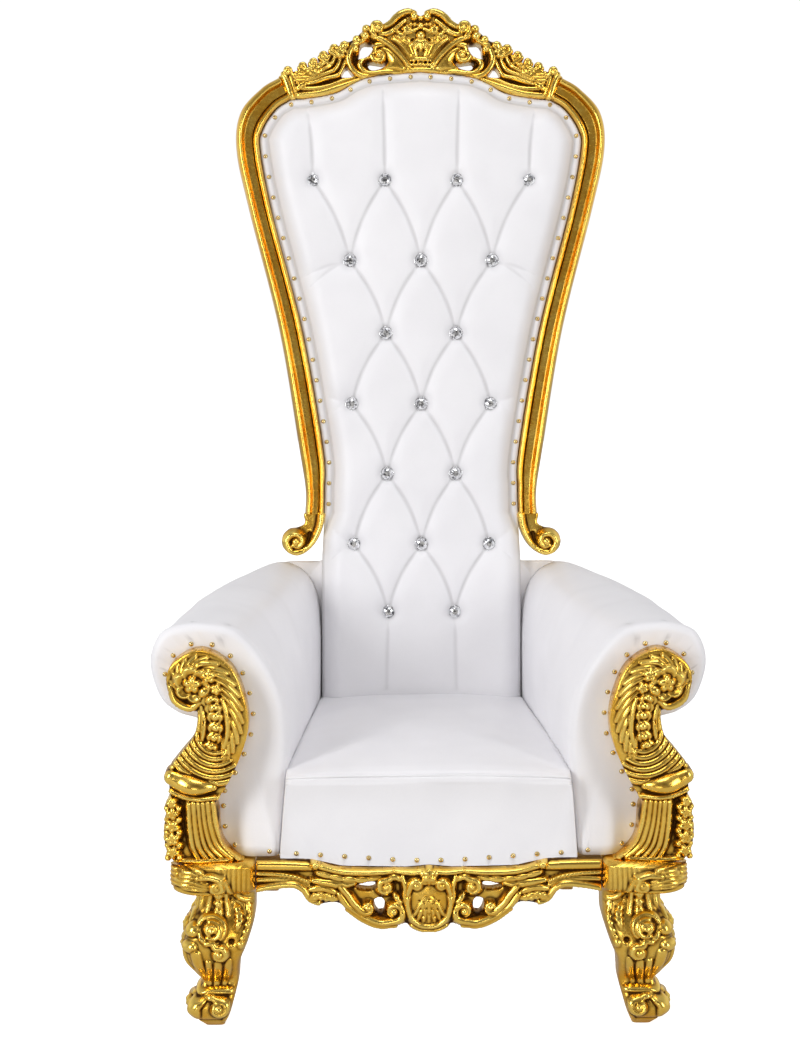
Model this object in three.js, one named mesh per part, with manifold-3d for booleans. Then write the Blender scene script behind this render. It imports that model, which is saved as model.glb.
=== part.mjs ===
// A carved and gilded throne chair with white leather upholstery, in millimetres, +Z up, front to -Y.
// The back leans as one plane, so its pieces are drawn in a leaning frame; the carved pieces of the
// front are drawn in an upright frame. In both frames x runs across, y runs up, and z comes forward.
import * as THREE from "three";
import { mergeVertices } from "three/addons/utils/BufferGeometryUtils.js";
import Module from "manifold-3d";

const wasm = await Module();
wasm.setup();

// Driving dimensions
const LEAN = THREE.MathUtils.degToRad(7); // of the back, from upright
const BACK_FOOT = 165; // where the plane of the back would meet the floor, behind the middle
const GAP = 0.4; // between pieces that touch
const CLOTH_GAP = 1; // between gilded wood and upholstery

// Depths in the leaning frame, from the plane of the back
const FRAME_BACK = -42;
const PANEL_BACK = -40;
const PANEL_FRONT = -20.4;
const BAND_FRONT = 4; // the flat nailed border of the inside back
const PAD_CROWN = 36;
const PAD_SIDE = 27; // beside the outer tufts
const TUFT_PIT = 14;

// Distances forward in the upright frame
const ARM_FACE = 300; // front of the upholstered arms
const SEAT_FACE = 325;
const POST_FRONT = 340; // ground of the carving on the arm posts
const RAIL_BACK = 303;
const RAIL_FRONT = 332;

// Heights
const RAIL_TOP = 297;
const SCROLL_TOP_OF_ARM = 719.5;

const gold = new THREE.MeshStandardMaterial({ color: 0xc9962f, metalness: 0.9, roughness: 0.3 });
const leather = new THREE.MeshStandardMaterial({ color: 0xe8e6ea, metalness: 0, roughness: 0.5 });
const crystal = new THREE.MeshStandardMaterial({ color: 0xdfe3ea, metalness: 0.1, roughness: 0.05 });

// ---- Curves and solids ----

/** Points as vectors, from pairs of numbers; side is -1 for the mirrored half. */
const points = (pairs, side = 1) => pairs.map(([x, y]) => new THREE.Vector2(side * x, y));

/** A smooth curve through points, as steps + 1 points. */
const smooth = (controls, steps) => new THREE.SplineCurve(controls).getPoints(steps);

/** The smooth curve through pairs of numbers. */
const curve = (pairs, steps) => smooth(points(pairs), steps);

/** Heights above the floor as distances up the leaning back. */
const leaning = (list) => list.map((point) => new THREE.Vector2(point.x, point.y / Math.cos(LEAN)));

/** The value at t of the parabola through three values at 0, a half and 1. */
const bow = ([start, middle, end], t) =>
  start * (1 - t) * (1 - 2 * t) + middle * 4 * t * (1 - t) + end * t * (2 * t - 1);

/** The value at x of the broken line through rows of [x, value, ...]. */
function alongRows(rows, x, column = 1) {
  const last = rows.findIndex((row, i) => i > 0 && (row[0] - x) * (rows[0][0] - x) <= 0);
  const [low, high] = [rows[last - 1], rows[last]];
  return THREE.MathUtils.mapLinear(x, low[0], high[0], low[column], high[column]);
}

/** A closed outline moved inwards, or outwards where the distance is negative. */
function inset(outline, distance) {
  const sense = THREE.ShapeUtils.isClockWise(outline) ? -1 : 1;
  return outline.map((point, i) => {
    const before = outline.at(i - 1);
    const after = outline[(i + 1) % outline.length];
    const along = after.clone().sub(before).normalize();
    return new THREE.Vector2(point.x - sense * along.y * distance, point.y + sense * along.x * distance);
  });
}

/** A half outline from the middle out, joined to its mirror image. */
const mirrored = (half) => [
  ...half.filter((point) => point.x > 0).reverse().map((point) => new THREE.Vector2(-point.x, point.y)),
  ...half,
];

/** A closed geometry as a solid, with its faces turned outwards. */
function solidOf(geometry) {
  const bare = new THREE.BufferGeometry();
  bare.setAttribute("position", geometry.getAttribute("position"));
  bare.setIndex(geometry.getIndex());
  const merged = mergeVertices(bare, 1e-3);
  const places = merged.getAttribute("position").array;
  const corners = Uint32Array.from(merged.getIndex().array);
  const kept = [];
  for (let i = 0; i < corners.length; i += 3) {
    const [a, b, c] = corners.subarray(i, i + 3);
    if (a !== b && b !== c && c !== a) kept.push(a, b, c);
  }
  if (volume(places, kept) < 0) kept.reverse();
  const mesh = new wasm.Mesh({ numProp: 3, vertProperties: places, triVerts: Uint32Array.from(kept) });
  return new wasm.Manifold(mesh);
}

/** Six times the signed volume inside triangles. */
function volume(places, corners) {
  const [a, b, c] = [new THREE.Vector3(), new THREE.Vector3(), new THREE.Vector3()];
  let sum = 0;
  for (let i = 0; i < corners.length; i += 3) {
    a.fromArray(places, 3 * corners[i]);
    b.fromArray(places, 3 * corners[i + 1]);
    c.fromArray(places, 3 * corners[i + 2]);
    sum += a.dot(b.cross(c));
  }
  return sum;
}

/** Solids joined into one. */
const fuse = (solids) => solids.reduce((whole, piece) => whole.add(piece));

/** A board with the given outline, between two depths. */
function board(outline, back, front) {
  const shape = new THREE.Shape(outline);
  const geometry = new THREE.ExtrudeGeometry(shape, { depth: front - back, bevelEnabled: false });
  geometry.translate(0, 0, back);
  return solidOf(geometry);
}

/** A carving pierced right through by openings, given on the right and repeated on the left. */
const pierce = (carving, openings, lay = (list) => list) => openings
  .flatMap((opening) => [lay(points(opening)), lay(points(opening, -1))])
  .reduce((rest, opening) => rest.subtract(board(opening, -100, 500)), carving);

/** A body through rings of equally many points, its two ends capped flat. */
function loft(rings) {
  const count = rings[0].length;
  const corners = [];
  for (let ring = 1; ring < rings.length; ring += 1) {
    for (let side = 0; side < count; side += 1) {
      const next = (side + 1) % count;
      const [low, high] = [(ring - 1) * count, ring * count];
      corners.push(low + side, low + next, high + next, low + side, high + next, high + side);
    }
  }
  for (const [triangle, offset, turned] of [
    ...capOf(rings[0]).map((t) => [t, 0, true]),
    ...capOf(rings.at(-1)).map((t) => [t, (rings.length - 1) * count, false]),
  ]) {
    const [a, b, c] = triangle.map((corner) => corner + offset);
    corners.push(...(turned ? [a, c, b] : [a, b, c]));
  }
  const geometry = new THREE.BufferGeometry().setFromPoints(rings.flat());
  geometry.setIndex(corners);
  return geometry;
}

/** Triangles that close a flat ring, turning the same way round as the ring. */
function capOf(ring) {
  const normal = new THREE.Vector3();
  ring.forEach((point, i) => {
    const next = ring[(i + 1) % ring.length];
    normal.add(point.clone().cross(next));
  });
  const turn = new THREE.Quaternion().setFromUnitVectors(normal.normalize(), new THREE.Vector3(0, 0, 1));
  const flat = ring.map((point) => point.clone().applyQuaternion(turn));
  return THREE.ShapeUtils.triangulateShape(flat.map((point) => new THREE.Vector2(point.x, point.y)), []);
}

// ---- Carving on a board's face ----

/** A moulding's section, across in half widths and up: one flat-topped bead, or several ridges. */
function beadSection(ridges) {
  if (ridges === 1) return [[-1, 0], [-0.45, 1], [0.45, 1], [1, 0]];
  const crests = Array.from({ length: 2 * ridges - 1 }, (_, i) => [(i + 1) / ridges - 1, i % 2 ? 0.6 : 1]);
  return [[-1, 0], ...crests, [1, 0]];
}

/**
 * A raised moulding along a path on a face, from its floor up to its crest.
 * Its half width and crest are given at the start, the middle and the end of the path.
 */
function moulding(path, { width, crest, ridges = 1, floor = -8, ground = () => 0 }) {
  const rings = path.map((point, i) => {
    const t = i / (path.length - 1);
    const along = path[Math.min(i + 1, path.length - 1)].clone().sub(path[Math.max(i - 1, 0)]).normalize();
    const half = bow(width, t);
    const base = ground(point);
    return beadSection(ridges).map(([across, up]) => new THREE.Vector3(
      point.x - along.y * half * across,
      point.y + along.x * half * across,
      base + floor + (bow(crest, t) - floor) * up,
    ));
  });
  return solidOf(loft(rings));
}

/** The points of a spiral that winds in from a radius to its eye. Angles are in degrees. */
function spiral([x, y], { radius, eye, from, turn, steps }) {
  return Array.from({ length: steps + 1 }, (_, i) => {
    const t = i / steps;
    const angle = THREE.MathUtils.degToRad(from + turn * t);
    const reach = radius * (eye / radius) ** t;
    return new THREE.Vector2(x + reach * Math.cos(angle), y + reach * Math.sin(angle));
  });
}

/** A rounded knob on a face. */
function knob([x, y], radius, crest, { floor = -8, sides = 5, long = 1, tilt = 0 } = {}) {
  const profile = [[0, floor], [1, floor], [0.75, crest * 0.85], [0, crest]];
  const rounded = profile.map(([reach, up]) => new THREE.Vector2(reach * radius, up));
  const geometry = new THREE.LatheGeometry(rounded, sides);
  geometry.rotateX(Math.PI / 2);
  geometry.scale(1, long, 1);
  geometry.rotateZ(THREE.MathUtils.degToRad(tilt));
  geometry.translate(x, y, 0);
  return solidOf(geometry);
}

/** A flower seen from the front: lobed petals round a sunk heart. */
function flower([x, y], radius, crest, { petals = 5, floor = -8 } = {}) {
  const levels = [[1, floor], [0.8, crest], [0.2, crest * 0.7]];
  const rings = levels.map(([reach, up], level) => Array.from({ length: 2 * petals }, (_, i) => {
    const lobe = level < 2 && i % 2 ? 0.75 : 1;
    const angle = (Math.PI * i) / petals;
    return new THREE.Vector3(
      x + radius * reach * lobe * Math.cos(angle),
      y + radius * reach * lobe * Math.sin(angle),
      up,
    );
  }));
  return solidOf(loft(rings));
}

/** Ribs that spread from a centre between two radii and two angles, as on a shell. */
function ribs([x, y], { inner, outer, from, to, count, crest, floor = -8, ground = 0 }) {
  const rays = Array.from({ length: 2 * count + 1 }, (_, i) => {
    const angle = THREE.MathUtils.degToRad(from + ((to - from) * i) / (2 * count));
    const ridge = i % 2;
    const reach = outer * (ridge ? 1 : 0.94);
    const at = (radius, up) => new THREE.Vector3(
      x + radius * Math.cos(angle),
      y + radius * Math.sin(angle),
      ground + up,
    );
    const top = ridge ? crest : crest * 0.45;
    const middle = (inner + reach) / 2;
    return [at(inner, floor), at(inner, top * 0.7), at(middle, top), at(reach, top * 0.6), at(reach, floor)];
  });
  return solidOf(loft(rays));
}

/** A block with upright reeds on its face. */
function reeds([left, bottom], [right, top], { count, crest, floor = -8 }) {
  const face = Array.from({ length: 2 * count + 1 }, (_, i) => [
    left + ((right - left) * i) / (2 * count),
    i % 2 ? crest : crest * 0.4,
  ]);
  const section = [[left, floor], ...face, [right, floor]];
  return solidOf(loft([bottom, top].map((y) => section.map(([x, z]) => new THREE.Vector3(x, y, z)))));
}

// ---- The scene graph ----

const throne = new THREE.Group();
const back = new THREE.Group();
back.position.y = BACK_FOOT;
back.rotation.x = Math.PI / 2 - LEAN;
const front = new THREE.Group();
front.rotation.x = Math.PI / 2;
throne.add(back, front);

/** Adds a solid to a group as a named mesh; a mirrored one is turned over to the other side. */
function place(group, name, solid, material, side = 1) {
  const { vertProperties, triVerts } = solid.getMesh();
  const geometry = new THREE.BufferGeometry();
  geometry.setAttribute("position", new THREE.BufferAttribute(Float32Array.from(vertProperties), 3));
  geometry.setIndex(new THREE.BufferAttribute(Uint32Array.from(triVerts), 1));
  const mesh = new THREE.Mesh(geometry, material.clone());
  mesh.name = name;
  mesh.scale.x = side;
  group.add(mesh);
  return mesh;
}

/** Adds a solid on the right and its mirror image on the left. */
function placePair(group, name, solid, material) {
  place(group, `${name}_right`, solid, material, 1);
  place(group, `${name}_left`, solid, material, -1);
}

// ---- The back: stiles, crest, upholstery ----

const STILE_STEPS = 10; // along each edge of the sweep
const stileOuter = leaning(curve([
  [280, 1669], [316, 1647], [357, 1600], [365, 1527], [340.5, 1410], [281.5, 1175], [242, 939], [230, 860],
  [231, 812],
], STILE_STEPS));
const stileInner = leaning(curve([
  [257, 1624], [286, 1605], [312, 1566], [317, 1527], [295, 1410], [235, 1175], [194, 939], [192, 860],
  [193, 812],
], STILE_STEPS));
const ogee = leaning(curve([[0, 1679], [90, 1671], [131, 1658], [165, 1639], [212, 1629], [257, 1624]], 7));

const STILE_SECTION = [ // across from the outer edge, and forward
  [0.06, FRAME_BACK], [0, 8], [0.12, 20], [0.28, 6], [0.72, 5], [0.88, 17], [1, 8], [1, FRAME_BACK],
];

/** An upright of the back: a moulded sweep with a scroll at its foot. */
function stile() {
  const rings = stileOuter.map((outer, i) => STILE_SECTION.map(([across, forward]) => {
    const point = outer.clone().lerp(stileInner[i], across);
    return new THREE.Vector3(point.x, point.y, forward);
  }));
  const [centre] = leaning(points([[247.5, 757]]));
  const eye = [centre.x, centre.y];
  const neck = leaning(curve([[212.5, 816], [218, 785], [223, 762]], 3));
  const curl = spiral(eye, { radius: 25, eye: 11, from: 215, turn: 400, steps: 7 });
  return fuse([
    solidOf(loft(rings)),
    moulding([...neck, ...curl], { width: [19, 11, 5], crest: [13, 17, 20], floor: FRAME_BACK }),
    knob(eye, 11, 22, { sides: 8 }),
  ]);
}

/** The inner outline of the gilded frame, which the upholstery of the back fills. */
const frameOpening = mirrored([
  ...ogee,
  ...stileInner.slice(1),
  ...leaning(points([[198.5, 716], [198.5, 458]])),
]);

const [CREST_BACK, CREST_GROUND] = [FRAME_BACK + 8, 2];
const CLEAR = 60; // far enough to cut past everything in front

/** The crest rail: a pierced board with scrolls, wings, a shell and flowers. */
function crestRail() {
  const outline = leaning(points([
    [0, 1785], [12, 1793], [30, 1795], [44, 1786], [60, 1767], [72, 1762], [84, 1771], [97, 1764],
    [107, 1766], [116, 1755], [132, 1741], [156, 1731], [174, 1719], [196, 1697], [226, 1684], [262, 1674], [281, 1669],
  ]));
  const openings = [
    [[92, 1731], [104, 1734], [118, 1733], [121, 1716], [124, 1704], [114, 1703], [99, 1712]],
    [[66, 1700], [76, 1695], [92, 1697], [105, 1697], [100, 1683], [86, 1682], [70, 1690]],
    [[145, 1690], [157, 1669], [132, 1669]],
  ];
  const sides = [1, -1].flatMap((side) => {
    const line = (pairs, steps) => smooth(leaning(points(pairs, side)), steps);
    const at = (x, height) => [side * x, height / Math.cos(LEAN)];
    const curled = (x, height, radius, from, turn) => spiral(at(x, height), {
      radius, eye: radius * 0.35, from: side > 0 ? from : 180 - from, turn: side * turn, steps: 4,
    });
    return [
      moulding(line([[14, 1783], [22, 1794], [40, 1786], [56, 1767], [74, 1758]], 4),
        { width: [5, 8, 5], crest: [14, 17, 12] }),
      moulding(line([[84, 1757], [62, 1738], [42, 1716], [25, 1684]], 4),
        { width: [6, 6, 4], crest: [18, 15, 10] }),
      moulding([...line([[30, 1684], [40, 1707], [62, 1728]], 2), ...curled(82, 1709, 17, 120, -380)],
        { width: [7, 9, 4], crest: [8, 14, 14] }),
      moulding(line([[99, 1707], [113, 1704], [118, 1689], [104, 1675], [78, 1677]], 3),
        { width: [5, 6, 4], crest: [13, 15, 9] }),
      moulding(line([[110, 1740], [131, 1731], [140, 1706], [128, 1675]], 3),
        { width: [5, 7, 4], crest: [15, 15, 9] }),
      moulding(line([[152, 1718], [178, 1690], [246, 1669]], 4),
        { width: [11, 18, 11], crest: [12, 19, 13], ridges: 2 }),
      moulding(line([[122, 1669], [160, 1649], [200, 1636], [250, 1631]], 3),
        { width: [4, 6, 4], crest: [9, 13, 10] }),
      moulding(line([[268, 1674], [258, 1650], [253, 1628]], 2), { width: [6, 6, 6], crest: [18, 18, 18] }),
      knob(at(84, 1762), 13, 20),
      knob(at(107, 1758), 9, 16),
      knob(at(108, 1744), 8, 19),
      knob(at(158, 1724), 10, 15),
      knob(at(13, 1785), 8, 20),
      flower(at(27, 1752), 13, 18),
    ];
  });
  const ground = board(mirrored([...outline, ...ogee.toReversed()]).slice(1), CREST_BACK, CREST_GROUND);
  const centre = (height) => [0, height / Math.cos(LEAN)];
  const whole = fuse([
    ground,
    ...sides,
    flower(centre(1724), 15, 22),
    ribs(centre(1738), { inner: 18, outer: 47, from: -158, to: -22, count: 5, crest: 12 }),
  ]);
  const room = board(inset(frameOpening, GAP), PANEL_BACK, CLEAR); // for the upholstery of the back
  return endAtStiles(pierce(whole, openings, leaning)).subtract(room);
}

/** A carving cut off along the joints with the two stiles. */
function endAtStiles(carving) {
  const [outer, inner] = [stileOuter[0], stileInner[0]];
  const along = outer.clone().sub(inner).normalize();
  const half = [
    inner.clone().addScaledVector(along, -60),
    outer.clone().addScaledVector(along, 60),
    outer.clone().add(new THREE.Vector2(90, 0)),
    inner.clone().add(new THREE.Vector2(90, -60)),
  ];
  return [1, -1].reduce((rest, side) => {
    const beyond = half.map((point) => new THREE.Vector2(side * (point.x - GAP), point.y));
    return rest.subtract(board(beyond, -90, 90));
  }, carving);
}

// Rows of buttons, from the top: height above the floor, and columns on each side of the middle
const BUTTON_ROWS = [
  [1466, [1, 3]], [1309, [0, 2]], [1167, [1]], [1029, [0, 2]], [892, [1]], [754, [0, 2]], [620, [1]],
];
const [TOP_PITCH, LOW_PITCH] = [71, 66]; // from one column to the next, in the top and the lowest row
const PAD_TOP = 1608;
const PAD_FOOT = 470;
const BAND = 15; // width of the nailed border

/** The distance from one column of tufts to the next, at a height above the floor. */
const pitchAt = (height) =>
  THREE.MathUtils.mapLinear(height, BUTTON_ROWS.at(-1)[0], BUTTON_ROWS[0][0], LOW_PITCH, TOP_PITCH);

/** Where a line across the back meets the inner edge of the frame. */
const openingHalf = (up) => {
  const sideways = [...stileInner, ...leaning(points([[198.5, 716], [198.5, 458]]))];
  return alongRows(sideways.map((point) => [point.y, point.x]), up);
};

/** The buttoned pad: low points at the buttons, high points between them, creases from one to the next. */
function tuftedPad() {
  const heights = [PAD_TOP, ...BUTTON_ROWS.map(([height]) => height), PAD_FOOT];
  const columns = [-4, -3, -2, -1, 0, 1, 2, 3, 4];
  const rows = heights.map((height, row) => {
    const up = height / Math.cos(LEAN);
    const edge = openingHalf(up) - BAND - CLOTH_GAP;
    const rim = row === 0 || row === heights.length - 1;
    const buttoned = rim ? [] : BUTTON_ROWS[row - 1][1];
    return columns.map((column) => {
      const flank = Math.abs(column) === 4;
      const reach = flank ? edge : Math.min(Math.abs(column) * pitchAt(height), edge - 12);
      const x = Math.sign(column) * reach;
      const rise = row === 0 ? 50 * (1 - (x / edge) ** 2) : 0;
      const pit = buttoned.includes(Math.abs(column));
      const crown = Math.abs(column) === 3 ? PAD_SIDE : PAD_CROWN;
      const level = rim || flank ? BAND_FRONT + 2 : pit ? TUFT_PIT : crown;
      return new THREE.Vector3(x, up + rise, level);
    });
  });
  const width = columns.length;
  const corners = [];
  const corner = (row, column, under = 0) => under * heights.length * width + row * width + column;
  for (let row = 0; row + 1 < heights.length; row += 1) {
    for (let column = 0; column + 1 < width; column += 1) {
      const [a, b] = [corner(row, column), corner(row, column + 1)];
      const [c, d] = [corner(row + 1, column + 1), corner(row + 1, column)];
      const creaseDown = (row + column) % 2 === 0;
      corners.push(...(creaseDown ? [a, c, b, a, d, c] : [a, d, b, b, d, c]));
      const [e, f] = [corner(row, column, 1), corner(row, column + 1, 1)];
      const [g, h] = [corner(row + 1, column + 1, 1), corner(row + 1, column, 1)];
      corners.push(e, f, g, e, g, h);
    }
  }
  const rim = [
    ...columns.map((_, i) => [0, i]),
    ...heights.slice(1).map((_, i) => [i + 1, width - 1]),
    ...columns.slice(1).map((_, i) => [heights.length - 1, width - 2 - i]),
    ...heights.slice(2).map((_, i) => [heights.length - 2 - i, 0]),
  ];
  rim.forEach(([row, column], i) => {
    const [nextRow, nextColumn] = rim[(i + 1) % rim.length];
    const [a, b] = [corner(row, column), corner(nextRow, nextColumn)];
    const [c, d] = [corner(nextRow, nextColumn, 1), corner(row, column, 1)];
    corners.push(a, b, c, a, c, d);
  });
  const under = rows.flat().map((point) => new THREE.Vector3(point.x, point.y, -10));
  const geometry = new THREE.BufferGeometry().setFromPoints([...rows.flat(), ...under]);
  geometry.setIndex(corners);
  return solidOf(geometry);
}

const BUTTON_SIDES = 6;

/** A cut-crystal button, pointed behind, standing on the pit of its tuft. */
function button(x, height) {
  const profile = points([[0, 0], [12.5, 6], [9, 11], [0, 12.5]]);
  const geometry = new THREE.LatheGeometry(profile, BUTTON_SIDES);
  geometry.rotateX(Math.PI / 2);
  geometry.translate(x, height / Math.cos(LEAN), TUFT_PIT + GAP);
  return solidOf(geometry);
}

placePair(back, "back_stile", stile(), gold);
place(back, "crest_rail", crestRail(), gold);
place(back, "back_cushion",
  board(inset(frameOpening, CLOTH_GAP), PANEL_FRONT + GAP, BAND_FRONT).add(tuftedPad()), leather);

const buttons = BUTTON_ROWS.flatMap(([height, columns]) => {
  const left = columns.filter((column) => column > 0).map((column) => -column).reverse();
  return [...left, ...columns].map((column) => [column * pitchAt(height), height]);
});
buttons.forEach(([x, height], i) => {
  place(back, `back_button_${String(i + 1).padStart(2, "0")}`, button(x, height), crystal);
});

// ---- The arms and the seat ----

const REAR_DEPTH = PANEL_FRONT + GAP; // the arms end against the outside back
/** How far back, as a forward distance, the arms reach at a height. */
const rearFace = (height) => REAR_DEPTH / Math.cos(LEAN) - BACK_FOOT - height * Math.tan(LEAN);

// The arm's outline at its front and at its rear, from the inner foot round over the roll
const ARM_OUTLINE = [
  [[260, 299.8], [199.5, 299.8]], [[250, 420], [199.5, 420]], [[243, 500], [199.5, 500]],
  [[252, 575], [199.5, 600]],
  [[283, 640], [203, 680]], [[330, 692], [222, 710]], [[385, 705], [262, 718]], [[430, 702], [300, 711]],
  [[460, 688], [322, 696]], [[477, 655], [336, 668]], [[478, 618], [335, 640]], [[462, 572], [322, 613]],
  [[432, 547], [308, 600]], [[392, 533], [305, 590]], [[384, 500], [305, 560]], [[384, 299.8], [305, 299.8]],
];
const INNER_POINTS = 6; // of the outline, along the inner side

// Along the arm from its front, and how much of the front's roll is left there
const ARM_FLARE = [
  [0, 1], [0.05, 0.93], [0.12, 0.84], [0.28, 0.74], [0.45, 0.63], [0.62, 0.46], [0.8, 0.26], [1, 0],
];

/** An upholstered arm, flared forwards and rolled outwards. */
function arm() {
  const rings = ARM_FLARE.map(([back, flare]) => ARM_OUTLINE.map(([fore, rear], i) => {
    const blend = i < INNER_POINTS || i === ARM_OUTLINE.length - 1 ? 1 - back : flare;
    const x = THREE.MathUtils.lerp(rear[0], fore[0], blend);
    const height = THREE.MathUtils.lerp(rear[1], fore[1], blend);
    return new THREE.Vector3(x, height, THREE.MathUtils.lerp(ARM_FACE, rearFace(height), back));
  }));
  return solidOf(loft(rings));
}

const SEAT_REAR = -213; // as a forward distance
const HEM = 2; // between the last point of the seat's lower edge and its corner
/** The half width that the arms leave for the seat. */
function seatHalf(forward, height) {
  const inner = ARM_OUTLINE.slice(0, 3).map(([fore]) => [fore[1], fore[0]]);
  const fore = alongRows(inner, Math.max(height, inner[0][0]));
  const along = Math.min((ARM_FACE - forward) / (ARM_FACE - rearFace(inner[0][0])), 1);
  return THREE.MathUtils.lerp(fore, ARM_OUTLINE[0][1][0], Math.max(along, 0)) - CLOTH_GAP;
}

// The upper edge of the front rail, from the middle out, which the seat's front border follows
const RAIL_CREST = [[0, 285], [40, 281.5], [150, 283.5], [190, 293], [215, 296.5], [299, RAIL_TOP]];

/** The seat: a crowned pad with an upright border in front. */
function seat() {
  const stations = [ // forward, height of the side seam, height of the crown
    [SEAT_FACE, 424, 424], [SEAT_FACE - 4, 437, 440], [SEAT_FACE - 25, 444, 455], [180, 447, 468],
    [0, 450, 471], [-140, 452, 464], [-175, 452, 453], [SEAT_REAR, 452, 452],
  ];
  const across = [-1, -0.7, 0, 0.7, 1];
  const below = mirrored(points(RAIL_CREST.slice(0, -1))).reverse();
  const rings = stations.map(([forward, seam, crown]) => {
    const foot = seatHalf(forward, RAIL_TOP);
    const half = seatHalf(forward, seam);
    const rise = crown - seam;
    const over = across.map((u) => new THREE.Vector3(u * half, seam + rise * (1 - u ** 4), forward));
    const under = below.map(({ x, y }) => {
      const held = Math.sign(x) * Math.min(Math.abs(x), foot - HEM);
      return new THREE.Vector3(held, y + GAP, forward);
    });
    const [right, left] = [1, -1].map((side) => new THREE.Vector3(side * foot, RAIL_TOP + GAP, forward));
    return [...over, right, ...under, left];
  });
  return solidOf(loft(rings));
}

placePair(front, "arm", arm(), leather);
place(front, "seat_cushion", seat(), leather);

const PANEL_FOOT = 305.5; // the panel leans, so that its rear edge stands clear of the legs at this height
const rearHalf = [
  [0, PANEL_FOOT], [305, PANEL_FOOT], ...ARM_OUTLINE.slice(7, -1).map(([, rear]) => rear).reverse(),
  [262, SCROLL_TOP_OF_ARM], [198.5, SCROLL_TOP_OF_ARM],
];
const panelOutline = mirrored([
  ...leaning(points(rearHalf)),
  ...stileInner.slice(1).reverse(),
  ...ogee.toReversed(),
]);
place(back, "outside_back", board(inset(panelOutline, CLOTH_GAP), PANEL_BACK, PANEL_FRONT), leather);

// ---- The carved front: arm posts, legs, apron ----

/** The facing of an arm: an S-scroll with husks and leaves, over a reeded block. */
function armPost() {
  const outline = [
    ...curve([[300, 298], [330, 303], [357, 335], [362, 385], [367, 402]], 6),
    ...curve([[350, 427], [325, 478], [309, 534], [316, 590], [340, 641], [390, 668], [436, 645], [447, 610],
      [430, 574], [396, 562]], 11),
    ...curve([[381, 546], [386, 516], [420, 469], [440, 438], [440, 412]], 5),
    ...curve([[452, 380], [456, 347], [450, 316], [437, 297.5]], 4),
  ];
  const lift = (list) => list.map((piece) => piece.translate([0, 0, POST_FRONT]));
  return board(outline, ARM_FACE + GAP, POST_FRONT).add(fuse(lift([
    moulding([
      ...curve([[362, 430], [341, 480], [327, 533], [333, 582], [353, 625], [392, 650]], 5).slice(0, -1),
      ...spiral([398, 613], { radius: 36, eye: 16, from: 95, turn: -300, steps: 6 }),
    ], { width: [12, 18, 7], crest: [9, 14, 13], ridges: 2 }),
    flower([401, 611], 20, 14),
    ...[0, 1, 2, 3].map((i) => knob([372 - 6 * i + 0.8 * i * i, 584 - 24 * i], 8, 12, { long: 1.5 })),
    ribs([352, 512], { inner: 22, outer: 76, from: -112, to: -34, count: 5, crest: 13 }),
    knob([422, 446], 16, 18, { long: 1.3, tilt: 25 }),
    moulding(curve([[366, 410], [398, 414], [437, 425]], 2), { width: [5, 6, 6], crest: [12, 15, 15] }),
    reeds([386, 322], [420, 406], { count: 3, crest: 12 }),
    moulding(curve([[374, 404], [371, 362], [358, 324], [322, 305]], 4),
      { width: [6, 7, 5], crest: [12, 14, 8] }),
    ...[392, 358, 325].map((height) => knob([438, height], 14, 15, { long: 1.2 })),
  ])));
}

// A leg from its top down: height, inner face and outer face
const LEG_ROWS = [
  [296.5, 300, 436], [268, 299.5, 437], [252, 299.5, 430], [240, 300, 401], [215, 301, 400],
  [190, 302.5, 414], [153, 314, 423], [123, 326, 418], [98, 329.5, 402], [80, 331, 392], [62, 335, 402], [44, 340, 412],
  [24, 346, 412], [0, 356, 390],
];
const LEG_CORNER = 53; // the leg is alike across its diagonal: forward = x - LEG_CORNER
const CHAMFER = 0.24;

/** A scroll leg with its corner block, alike on its front and its outer side. */
function frontLeg() {
  const rings = LEG_ROWS.map(([height, inner, outer]) => {
    const cut = (outer - inner) * CHAMFER;
    const [low, high] = [inner, outer];
    const corners = [
      [low, low + cut], [low, high - cut], [low + cut, high], [high - cut, high],
      [high, high - cut], [high, low + cut], [high - cut, low], [low + cut, low],
    ];
    return corners.map(([x, depth]) => new THREE.Vector3(x, height, depth - LEG_CORNER));
  });
  const outerFace = (height) => alongRows(LEG_ROWS, THREE.MathUtils.clamp(height, 0, 296), 2) - LEG_CORNER;
  const ground = (point) => outerFace(point.y);
  const at = (piece, height) => piece.translate([0, 0, outerFace(height)]);
  const carvings = () => [
    moulding(points([[350, 274], [385, 274], [428, 272]]),
      { width: [14, 16, 13], crest: [4, 8, 3], ridges: 2, ground: () => outerFace(268) }),
    at(knob([359, 268], 16, 9), 268),
    moulding(curve([[362, 243], [360, 222], [362, 200]], 2), { width: [4, 5, 6], crest: [2, 5, 8], ground }),
    at(flower([376, 184], 27, 12, { floor: -14 }), 190),
    at(knob([318, 196], 14, 4, { floor: -30, long: 1.6 }), 190),
    at(knob([361, 141], 15, 7), 130),
    at(knob([363, 42], 15, 5), 42),
  ];
  const across = (solid) => solidOf(swapped(solid));
  return fuse([solidOf(loft(rings)), ...carvings(), ...carvings().map(across)]);
}

/** A solid's geometry turned over the leg's diagonal plane. */
function swapped(solid) {
  const { vertProperties, triVerts } = solid.getMesh();
  const places = Float32Array.from(vertProperties);
  for (let i = 0; i < places.length; i += 3) {
    const [x, forward] = [places[i], places[i + 2]];
    places[i] = forward + LEG_CORNER;
    places[i + 2] = x - LEG_CORNER;
  }
  const geometry = new THREE.BufferGeometry();
  geometry.setAttribute("position", new THREE.BufferAttribute(places, 3));
  geometry.setIndex(new THREE.BufferAttribute(Uint32Array.from(triVerts), 1));
  return geometry;
}

const RAIL_HALF = 298.6; // the apron ends against the corner blocks of the legs
const betweenLegs = solidOf(new THREE.BoxGeometry(2 * RAIL_HALF, 1000, 1000));

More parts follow.
